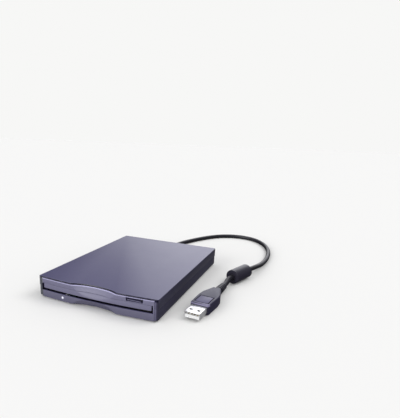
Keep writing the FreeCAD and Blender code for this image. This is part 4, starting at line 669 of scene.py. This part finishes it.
FINISHES: dict[str, Finish] = {
    "case_upper": Finish(CASE_COLOUR, 0.34, **MOULDED,
                         zones=(ROOF_PAINTED_LIGHT, LIP_PAINTED_SHADE, LEFT_CHEEK_PAINTED_LIGHT, RIGHT_CHEEK_PAINTED_LIGHT)),
    "case_lower": Finish(CASE_COLOUR, 0.36, **MOULDED, zones=(LEFT_CHEEK_PAINTED_LIGHT, RIGHT_CHEEK_PAINTED_LIGHT)),
    "bezel": Finish(FRONT_COLOUR, 0.45, **MOULDED,
                    zones=(LEFT_END_PAINTED_SHADE, LOWER_LIP_PAINTED_SHADE, SLOT_PAINTED_SHADE, SLOT_END_PAINTED_SHADE, TOP_EDGE_PAINTED_HIGHLIGHT, KEY_HOLE_PAINTED_SHADE)),
    "door": Finish(FRONT_COLOUR, 0.45, **MOULDED, zones=(TOP_EDGE_PAINTED_HIGHLIGHT,)),
    "button": Finish(FRONT_COLOUR, 0.36, **MOULDED, zones=(KEY_TOP_PAINTED_SHADOW, KEY_END_PAINTED_SHADE)),
    "foot_rubber": Finish((0.018, 0.018, 0.02), 0.75, relief=0.03, sheen=0.2),
    "screw_steel": Finish((0.16, 0.16, 0.17), 0.35, **STEEL),
    # Painted light: the lens glows though the lamp behind it gives no light.
    "clear_lens": Finish((0.80, 0.80, 0.92), 0.2, relief=0.002, drift=0.01, painted_glow=0.15),
    "lamp_body": Finish((0.30, 0.32, 0.30), 0.22, relief=0.002, drift=0.02, clear=0.6),
    "spring_wire": Finish((0.55, 0.55, 0.57), 0.3, metallic=1.0, relief=0.003),
    "plated_sheet": Finish((0.36, 0.365, 0.37), 0.38, **STEEL),
    "bright_sheet": Finish((0.42, 0.42, 0.43), 0.32, **STEEL),
    "turned_steel": Finish((0.50, 0.50, 0.52), 0.2, metallic=1.0, relief=0.002),
    "green_board": Finish((0.014, 0.08, 0.04), 0.36, texture=Texture.TRACKS, relief=0.03,
                          zones=(BOARD_FRONT_PAINTED_SHADE,)),
    "copper_winding": Finish((0.72, 0.30, 0.12), 0.3, metallic=1.0, relief=0.03, scale=5200.0),
    "sintered_bronze": Finish((0.50, 0.34, 0.18), 0.48, metallic=1.0, relief=0.02),
    "magnet": Finish((0.05, 0.05, 0.055), 0.6, relief=0.02, metallic=0.4),
    "carriage_plastic": Finish((0.02, 0.02, 0.023), 0.5, relief=0.012),
    "ceramic_head": Finish((0.72, 0.70, 0.66), 0.12, relief=0.001, drift=0.03),
    "chip_plastic": Finish((0.014, 0.014, 0.016), 0.55, relief=0.01),
    "switch_plastic": Finish((0.05, 0.05, 0.055), 0.42, relief=0.008),
    "ribbon_film": Finish((0.80, 0.80, 0.78), 0.35, relief=0.01, texture=Texture.DRAWN),
    "amber_film": Finish((0.50, 0.20, 0.03), 0.22, relief=0.003),
    "lead_rubber": Finish((0.026, 0.025, 0.036), 0.40, relief=0.012, zones=GROOVES_PAINTED_SHADE),
    "lead_jacket": Finish((0.014, 0.013, 0.018), 0.42, relief=0.012, scale=2200.0, drift=0.1),
    "bead_plastic": Finish((0.021, 0.019, 0.032), 0.38, relief=0.05, scale=700.0, drift=0.2),
    "plug_plastic": Finish((0.027, 0.025, 0.052), 0.42, relief=0.014, drift=0.05,
                           zones=(MOAT_PAINTED_SHADE, PANEL_PAINTED_LIGHT, PLUG_NOSE_PAINTED_LIGHT)),
    "plug_metal": Finish((0.90, 0.90, 0.91), 0.3, metallic=0.7, texture=Texture.DRAWN,
                         scale=900.0, relief=0.003),
    "insert_plastic": Finish((0.80, 0.80, 0.79), 0.36, relief=0.005, drift=0.02),
    # Partly the gold's own colour, partly painted shade: the contacts are darkened as they sit
    # in the plug's mouth.
    "gold_contact": Finish((0.34, 0.29, 0.21), 0.3, metallic=1.0, relief=0.001),
}


# --- what every sub-assembly shares ---------------------------------------------------------


@dataclass
class Workshop:
    """The loaded frame, its finishes and the way a piece is handed over."""

    frame: dict[str, Any]
    materials: dict[str, bpy.types.Material] = field(default_factory=dict)
    slots: dict[str, str] = field(default_factory=dict)
    bodies: dict[str, str] = field(default_factory=dict)

    def __post_init__(self) -> None:
        """Build the materials and look up each node's slot and body."""
        groups = Groups()
        self.materials = {name: finish.material(name, groups)
                          for name, finish in FINISHES.items()}
        record = self.frame["record"]
        self.slots = {part["node"]: part["material_slot"] for part in record["subparts"]}
        self.bodies = {node: body for body, nodes in record["behaviour"]["bodies"].items()
                       for node in nodes}

    def paint(self, item: bpy.types.Object, slot: str) -> None:
        """Give an object one finish all over.

        Args:
            item: The object.
            slot: The finish's name.
        """
        item.data.materials.clear()
        item.data.materials.append(self.materials[slot])

    def hand_over(self, item: bpy.types.Object, node: str, replaces: bool = True,
                  slot: str | None = None) -> bpy.types.Object:
        """Paint a piece, hang it on its node's body and let it stand for the node.

        Args:
            item: The finished piece.
            node: The node that it belongs to.
            replaces: Whether the node is hidden.
            slot: The finish, if it isn't the node's own.

        Returns:
            The piece.
        """
        chosen = slot or self.slots[node]
        self.paint(item, chosen)
        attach(item, self.bodies[node])
        if replaces:
            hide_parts(node)
        LOG.info("%s stands on %s", item.name, self.bodies[node])
        return item

    def soften(self, node: str, width: float, segments: int = 2,
               sharp: float = 32.0) -> bpy.types.Object:
        """A copy of a node with merged faces and broken edges.

        Args:
            node: The node to dress.
            width: Edge radius in millimetres.
            segments: Steps round each edge.
            sharp: Edges steeper than this many degrees are broken.

        Returns:
            The dressed copy, handed over in place of the node.
        """
        source = self.frame["nodes"][node]
        piece = bpy.data.objects.new(node + "_dressed", source.data.copy())
        bpy.context.scene.collection.objects.link(piece)
        choose_faces(piece, lambda face: True)
        bpy.ops.mesh.remove_doubles(threshold=MERGE_WITHIN * MM)
        bpy.ops.mesh.dissolve_limited(angle_limit=math.radians(FLAT_WITHIN))
        leave_edit()
        apply_modifier(piece, "BEVEL", width=width * MM, segments=segments,
                       limit_method="ANGLE", angle_limit=math.radians(sharp),
                       use_clamp_overlap=True, miter_outer="MITER_ARC")
        smooth(piece)
        return self.hand_over(piece, node)

    def keep_nodes(self) -> None:
        """Paint every node that is still shown with its slot's finish."""
        for node, item in self.frame["nodes"].items():
            if not item.hide_render:
                self.paint(item, self.slots[node])
                LOG.info("%s keeps its solid", node)


# --- sub-assemblies -------------------------------------------------------------------------


@dataclass
class Casework:
    """Two shells, feet and screws, with the radius of their edges in millimetres."""

    edge: float = 0.22
    foot_edge: float = 0.4
    foot_steps: int = 4
    screw_edge: float = 0.12

    def build(self, shop: Workshop) -> None:
        """Dress the outer mouldings.

        Args:
            shop: The workshop.
        """
        shop.soften("upper_shell", self.edge)
        shop.soften("lower_shell", self.edge)
        shop.soften("rubber_feet", self.foot_edge, self.foot_steps)
        shop.soften("case_screws", self.screw_edge)
        shop.soften("drive_screws", self.screw_edge)


@dataclass
class Front:
    """Bezel, door, button and lamp, with the radius of their edges in millimetres."""

    bezel_edge: float = 0.3
    door_edge: float = 0.2
    button_edge: float = 0.15
    edge_steps: int = 3
    lens_edge: float = 0.4
    lens_steps: int = 5

    def build(self, shop: Workshop) -> None:
        """Dress the front mouldings.

        Args:
            shop: The workshop.
        """
        shop.soften("front_bezel", self.bezel_edge, self.edge_steps)
        shop.soften("slot_door", self.door_edge, self.edge_steps)
        shop.soften("eject_button", self.button_edge, self.edge_steps)
        shop.soften("activity_lens", self.lens_edge, self.lens_steps)


@dataclass
class Mechanism:
    """Wound springs and the threaded screw inside the case, in millimetres."""

    wire_sides: int = 6
    steps_a_turn: int = 14
    wire: float = 0.09
    coil_radius: float = 0.36
    coil_turns: int = 60
    coil_from: float = -45.0
    coil_long: float = 34.05
    coil_side: float = 16.0
    coil_height: float = 13.6
    hook_radius: float = 0.45
    hook_ends: tuple[float, float] = (-45.35, -10.6)
    core_sides: int = 32
    core_radius: float = 0.78
    thread_from: Point = (-24.0, 30.6, 9.0)
    thread_long: float = 14.0
    thread_lead: float = 3.0
    thread_radius: float = 0.72
    thread_wire: float = 0.17

    def coil(self, name: str, start: Point, along: Point, radius: float, turns: float,
             length: float, wire: float, first: float = 0.0) -> bpy.types.Object:
        """A round wire screwed into a helix.

        Args:
            name: The piece's name.
            start: Where the coil's axis starts, in millimetres.
            along: Unit direction of the axis.
            radius: Radius of the wire's centreline in millimetres.
            turns: Number of turns.
            length: Length of the coil in millimetres.
            wire: Radius of the wire in millimetres.
            first: Angle in degrees at which the wire starts.

        Returns:
            The closed coil at the origin.
        """
        deselect()
        bpy.ops.mesh.primitive_circle_add(vertices=self.wire_sides, radius=wire * MM)
        item = bpy.context.object
        item.name = name
        bpy.ops.object.mode_set(mode="EDIT")
        bpy.ops.transform.rotate(value=math.radians(90), orient_axis="X",
                                 center_override=(0, 0, 0))
        bpy.ops.transform.translate(value=(radius * MM, 0, 0))
        leave_edit()
        steps = round(turns * self.steps_a_turn)
        apply_modifier(item, "SCREW", angle=2 * math.pi * turns, screw_offset=length * MM,
                       steps=steps, render_steps=steps, use_normal_calculate=True)
        bpy.ops.object.mode_set(mode="EDIT")
        bpy.ops.mesh.select_all(action="SELECT")
        bpy.ops.mesh.fill_holes(sides=0)
        bpy.ops.mesh.normals_make_consistent(inside=False)
        leave_edit()
        turn = Vector((0, 0, 1)).rotation_difference(Vector(along)).to_matrix().to_4x4()
        item.matrix_world = (Matrix.Translation(Vector(start) * MM) @ turn
                             @ Matrix.Rotation(math.radians(first), 4, "Z"))
        settle(item)
        smooth(item, 60)
        return item

    def wind_springs(self, shop: Workshop) -> None:
        """Wind the two eject springs with a hook at each end.

        Args:
            shop: The workshop.
        """
        wound = []
        for side in (-self.coil_side, self.coil_side):
            wound.append(self.coil("eject_coil", (side, self.coil_from, self.coil_height),
                                   (0, 1, 0), self.coil_radius, self.coil_turns,
                                   self.coil_long, self.wire))
            for end in self.hook_ends:
                wound.append(self.coil("eject_hook", (side - self.wire, end, self.coil_height),
                                       (1, 0, 0), self.hook_radius, 1, 2 * self.wire,
                                       self.wire))
        shop.hand_over(join("eject_springs_wound", wound), "eject_springs")

    def cut_screw(self, shop: Workshop) -> None:
        """Cut the two starts of the lead screw's thread.

        Args:
            shop: The workshop.
        """
        low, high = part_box("lead_screw")
        deselect()
        bpy.ops.mesh.primitive_cylinder_add(
            vertices=self.core_sides, radius=self.core_radius * MM, depth=high.y - low.y,
            location=(low + high) / 2, rotation=(math.radians(90), 0, 0))
        core = bpy.context.object
        settle(core)
        apply_modifier(core, "BEVEL", width=self.wire * MM, segments=2, limit_method="ANGLE",
                       angle_limit=math.radians(60))
        starts = [self.coil("thread", self.thread_from, (0, 1, 0), self.thread_radius,
                            self.thread_long / self.thread_lead, self.thread_long,
                            self.thread_wire, first) for first in (0.0, 180.0)]
        screw = join("lead_screw_cut", [core, *starts])
        smooth(screw, 50)
        shop.hand_over(screw, "lead_screw")

    def build(self, shop: Workshop) -> None:
        """Make the wound and the threaded pieces.

        Args:
            shop: The workshop.
        """
        self.wind_springs(shop)
        self.cut_screw(shop)


@dataclass
class Lead:
    """The flexible lead with its bead and the plug on its end.
    """

    exit: Point = (-0.008, 0.077, 0.0076)
    length: float = 0.3387
    diameter: float = 0.0046
    round_steps: int = 6
    run_steps: int = 10
    bead_from: Point = (80.56, 27.63, 6.4)
    bead_to: Point = (88.374, 49.687, 6.4)
    bead_long: float = 23.4
    bead_radius: float = 6.3
    bead_sides: int = 64
    bead_rim: float = 2.9
    bead_dish: float = 0.5
    bead_edge: float = 1.3
    bead_edge_steps: int = 6
    seam_height: float = 0.08
    seam_from_area: float = 1.0
    gland_edge: float = 0.3
    gland_steps: int = 3
    relief_edge: float = 0.25
    grip_edge: float = 0.2
    shell_edge: float = 0.1
    contact_edge: float = 0.05
    route: tuple[Point, ...] = (
        (-8.0, 77.0, 7.6), (-8.05, 87.5, 7.4), (-7.9, 98.0, 4.9), (-7.0, 109.0, 2.55),
        (-4.9, 120.5, 2.35), (0.4, 134.0, 2.35), (7.8, 148.8, 2.35), (16.0, 163.0, 2.35),
        (26.5, 176.0, 2.35), (41.5, 185.2, 2.35), (58.5, 186.8, 2.35), (74.5, 180.0, 2.35),
        (87.0, 164.4, 2.35), (94.6, 145.4, 2.35), (98.2, 124.5, 2.35), (98.8, 102.5, 2.5),
        (97.0, 81.5, 3.7), (93.1, 63.2, 6.0), (88.374, 49.687, 6.4), (80.56, 27.63, 6.4),
        (78.56, 21.97, 5.9), (78.41, 15.24, 4.45), (77.884, 9.761, 4.2),
    )

    def make_cord(self, shop: Workshop) -> bpy.types.Object:
        """One smooth line from the case through the bead to the plug.

        Args:
            shop: The workshop.

        Returns:
            The cord.
        """
        line = bpy.data.curves.new("usb_lead", "CURVE")
        line.dimensions = "3D"
        line.bevel_depth = self.diameter / 2
        line.bevel_resolution = self.round_steps
        line.resolution_u = self.run_steps
        line.use_fill_caps = True
        spline = line.splines.new("NURBS")
        spline.points.add(len(self.route) - 1)
        for point, place in zip(spline.points, self.route):
            point.co = (*(Vector(place) * MM), 1.0)
        spline.order_u = 3
        spline.use_endpoint_u = True
        cord = bpy.data.objects.new("usb_lead", line)
        bpy.context.scene.collection.objects.link(cord)
        line.materials.append(shop.materials["lead_jacket"])
        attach(cord, shop.bodies["usb_cord"])
        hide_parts("usb_cord", "usb_cord_tail")
        LOG.info("%s stands on %s", cord.name, shop.bodies["usb_cord"])
        return cord

    def make_bead(self, shop: Workshop) -> bpy.types.Object:
        """Moulded bead with dished ends and a parting line along two sides.

        Args:
            shop: The workshop.

        Returns:
            The bead.
        """
        start, end = Vector(self.bead_from) * MM, Vector(self.bead_to) * MM
        deselect()
        bpy.ops.mesh.primitive_cylinder_add(
            vertices=self.bead_sides, radius=self.bead_radius * MM, depth=self.bead_long * MM)
        bead = bpy.context.object
        bead.name = "ferrite_bead_moulded"
        choose_faces(bead, lambda face: abs(face.normal.z) > 0.9)
        bpy.ops.mesh.inset(thickness=self.bead_rim * MM, use_individual=True)
        bpy.ops.mesh.extrude_faces_move(
            TRANSFORM_OT_shrink_fatten={"value": -self.bead_dish * MM})
        leave_edit()
        apply_modifier(bead, "BEVEL", width=self.bead_edge * MM, segments=self.bead_edge_steps,
                       limit_method="ANGLE", angle_limit=math.radians(60))
        smallest = self.seam_from_area * MM * MM
        choose_faces(bead, lambda face: (abs(face.normal.x) > 0.995
                                         and face.calc_area() > smallest))
        bpy.ops.mesh.extrude_region_shrink_fatten(
            TRANSFORM_OT_shrink_fatten={"value": self.seam_height * MM})
        leave_edit()
        turn = Vector((0, 0, 1)).rotation_difference(end - start).to_matrix().to_4x4()
        bead.matrix_world = Matrix.Translation((start + end) / 2) @ turn
        settle(bead)
        smooth(bead, 45)
        return shop.hand_over(bead, "ferrite_bead")

    def build(self, shop: Workshop) -> None:
        """Args:
            shop: The workshop.
        """
        cord = self.make_cord(shop)
        shop.soften("cable_gland", self.gland_edge, self.gland_steps)
        on_it = [self.make_bead(shop),
                 shop.soften("plug_strain_relief", self.relief_edge),
                 shop.soften("plug_housing", self.grip_edge),
                 shop.soften("plug_shell", self.shell_edge),
                 shop.soften("plug_insert", self.shell_edge),
                 shop.soften("plug_contacts", self.contact_edge)]


# --- studio ---------------------------------------------------------------------------------


@dataclass(frozen=True)
class Lamp:
    """A broad, distant lamp: where it shines from, its width in degrees and its strength."""

    place: Point
    spread: float
    strength: float
    reflected: bool

    def hang(self, name: str) -> None:
        """Put the lamp in the scene.

        Args:
            name: The lamp's name.
        """
        data = bpy.data.lights.new(name, "SUN")
        data.angle = math.radians(self.spread)
        data.energy = self.strength
        lamp = bpy.data.objects.new(name, data)
        lamp.location = self.place
        lamp.rotation_euler = (-Vector(self.place)).to_track_quat("-Z", "Y").to_euler()
        lamp.visible_glossy = self.reflected
        bpy.context.scene.collection.objects.link(lamp)


@dataclass
class Studio:
    """Camera, pale floor and soft light, with places in metres and turns in degrees.

    The rear and front cards are pairs of a direction, from -1 at the left to 1 at the right,
    and a brightness.
    """

    eye: Point = (0.1480, -0.2837, 0.1260)
    azimuth: float = 22.51
    elevation: float = 13.98
    roll: float = 1.72
    lens: float = 32.06
    sensor: float = 36.0
    shift: tuple[float, float] = (0.0718, 0.0502)
    nearest: float = 0.01
    farthest: float = 20.0
    floor_wide: float = 12.0
    floor_colour: Colour = (0.815, 0.81, 0.785)
    floor_roughness: float = 0.8
    rear_cards: Stops = (
        (-1.0, 0.02), (-0.72, 0.02), (-0.64, 0.04), (-0.58, 0.12), (-0.52, 0.65),
        (-0.46, 1.2), (-0.38, 1.7), (-0.25, 2.15), (0.0, 2.05), (0.2, 1.1), (0.5, 0.3),
        (1.0, 0.1))
    front_cards: Stops = (
        (-1.0, 0.7), (-0.2, 0.9), (0.25, 0.5), (0.6, 0.15), (1.0, 0.1))
    brightest: float = 3.0
    side_seam: tuple[float, float] = (-0.2, 0.2)
    horizon: tuple[float, float] = (-0.05, 0.1)
    below: float = 0.1
    backdrop: float = 0.93
    sky: Colour = (0.955, 0.962, 1.0)
    paper: Colour = (1.0, 1.0, 0.99)
    ambient: float = 0.82
    overhead: Lamp = Lamp((0.75, 0.4, 1.0), 36.0, 0.95, reflected=False)
    front: Lamp = Lamp((-0.45, -0.9, 0.35), 32.0, 1.3, reflected=True)

    def make_camera(self) -> None:
        """Camera at the eye, turned about all three axes."""
        data = bpy.data.cameras.new("camera")
        data.sensor_width = self.sensor
        data.lens = self.lens
        data.shift_x, data.shift_y = self.shift
        data.clip_start, data.clip_end = self.nearest, self.farthest
        camera = bpy.data.objects.new("camera", data)
        bpy.context.scene.collection.objects.link(camera)
        turn, lift, roll = (math.radians(a) for a in (self.azimuth, self.elevation, self.roll))
        back = Vector((math.sin(turn) * math.cos(lift), -math.cos(turn) * math.cos(lift),
                       math.sin(lift)))
        right = Vector((math.cos(turn), math.sin(turn), 0))
        up = back.cross(right)
        across = math.cos(roll) * right + math.sin(roll) * up
        upward = math.cos(roll) * up - math.sin(roll) * right
        axes = Matrix((across, upward, back)).transposed().to_4x4()
        camera.matrix_world = Matrix.Translation(Vector(self.eye)) @ axes
        bpy.context.scene.camera = camera

    def make_floor(self) -> None:
        """Wide pale floor."""
        bpy.ops.mesh.primitive_plane_add(size=self.floor_wide, location=(0, 0, 0))
        floor = bpy.context.object
        floor.name = "floor"
        paper = bpy.data.materials.new("floor_paper")
        paper.use_nodes = True
        shader = paper.node_tree.nodes["Principled BSDF"]
        shader.inputs["Base Color"].default_value = (*self.floor_colour, 1.0)
        shader.inputs["Roughness"].default_value = self.floor_roughness
        shader.inputs["Specular IOR Level"].default_value = 0.0
        floor.data.materials.append(paper)
        floor.visible_glossy = False
        floor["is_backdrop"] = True

    def shade(self, tree: Tree, factor: Socket, stops: Stops) -> Socket:
        """Brightness along one direction.

        Args:
            tree: The node tree.
            factor: Socket that runs from -1 to 1.
            stops: Pairs of direction and brightness.

        Returns:
            The brightness.
        """
        curve = tree.nodes.new("ShaderNodeFloatCurve")
        points = curve.mapping.curves[0].points
        places = [((side + 1) / 2, bright / self.brightest) for side, bright in stops]
        points[0].location, points[1].location = places[0], places[-1]
        for place in places[1:-1]:
            points.new(*place)
        curve.mapping.update()
        above_zero = Groups.reckon(tree, "ADD", factor, 1.0)
        tree.links.new(Groups.reckon(tree, "MULTIPLY", above_zero, 0.5),
                       curve.inputs["Value"])
        return Groups.reckon(tree, "MULTIPLY", curve.outputs[0], self.brightest)

    @staticmethod
    def ramp(tree: Tree, value: Socket, ends: tuple[float, float], low: float = 0.0,
             soft: bool = False) -> Socket:
        """A value that rises to 1 between two ends.

        Args:
            tree: The node tree.
            value: What is compared with the ends.
            ends: Where the rise starts and where it stops.
            low: The value below the first end.
            soft: Whether the rise starts and stops gently.

        Returns:
            The risen value.
        """
        node = tree.nodes.new("ShaderNodeMapRange")
        if soft:
            node.interpolation_type = "SMOOTHSTEP"
        node.inputs["From Min"].default_value, node.inputs["From Max"].default_value = ends
        node.inputs["To Min"].default_value = low
        tree.links.new(value, node.inputs["Value"])
        return node.outputs["Result"]

    @staticmethod
    def choose(tree: Tree, factor: Socket, first: Socket | float,
               second: Socket | float) -> Socket:
        """One value or the other.

        Args:
            tree: The node tree.
            factor: 0 for the first, 1 for the second.
            first: First value.
            second: Second value.

        Returns:
            The mix of both.
        """
        node = tree.nodes.new("ShaderNodeMix")
        tree.links.new(factor, node.inputs["Factor"])
        Groups.feed(tree, first, node.inputs["A"])
        Groups.feed(tree, second, node.inputs["B"])
        return node.outputs["Result"]

    def make_light(self) -> None:
        """Cards of different brightness all round, one soft lamp above and one in front."""
        world = bpy.data.worlds.new("studio")
        bpy.context.scene.world = world
        world.use_nodes = True
        tree = world.node_tree
        ground = tree.nodes["Background"]
        path = tree.nodes.new("ShaderNodeLightPath")
        split = tree.nodes.new("ShaderNodeSeparateXYZ")
        coords = tree.nodes.new("ShaderNodeTexCoord")
        tree.links.new(coords.outputs["Generated"], split.inputs[0])
        rear = self.shade(tree, split.outputs["X"], self.rear_cards)
        front = self.shade(tree, split.outputs["X"], self.front_cards)
        facing = self.ramp(tree, split.outputs["Y"], self.side_seam, soft=True)
        cards = self.choose(tree, facing, front, rear)
        above = self.ramp(tree, split.outputs["Z"], self.horizon, self.below)
        lit = Groups.reckon(tree, "MULTIPLY", cards, above)
        felt = self.choose(tree, path.outputs["Is Glossy Ray"], self.ambient, lit)
        seen = self.choose(tree, path.outputs["Is Camera Ray"], felt, self.backdrop)
        tree.links.new(seen, ground.inputs["Strength"])
        tint = tree.nodes.new("ShaderNodeMix")
        tint.data_type = "RGBA"
        tree.links.new(path.outputs["Is Camera Ray"], tint.inputs["Factor"])
        tint.inputs["A"].default_value = (*self.sky, 1.0)
        tint.inputs["B"].default_value = (*self.paper, 1.0)
        tree.links.new(tint.outputs["Result"], ground.inputs["Color"])
        self.overhead.hang("overhead")
        self.front.hang("front")

    def build(self) -> None:
        """Set the whole studio."""
        bpy.context.scene.view_settings.view_transform = "Standard"
        self.make_camera()
        self.make_floor()
        self.make_light()


def main() -> dict[str, list[list[float]]]:
    """Build everything in order.

    Returns:
        The box of the solids and the box of the dressed model.
    """
    logging.basicConfig(level=logging.INFO, format="%(name)s: %(message)s")
    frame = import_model()
    solids = [list(corner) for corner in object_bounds()]
    deselect()
    shop = Workshop(frame)
    Studio().build()
    Lead().build(shop)
    Casework().build(shop)
    Front().build(shop)
    Mechanism().build(shop)
    shop.keep_nodes()
    deselect()
    dressed = [list(corner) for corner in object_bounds()]
    sizes = {"solids": solids, "dressed": dressed}
    return sizes


if __name__ == "__main__":
    main()
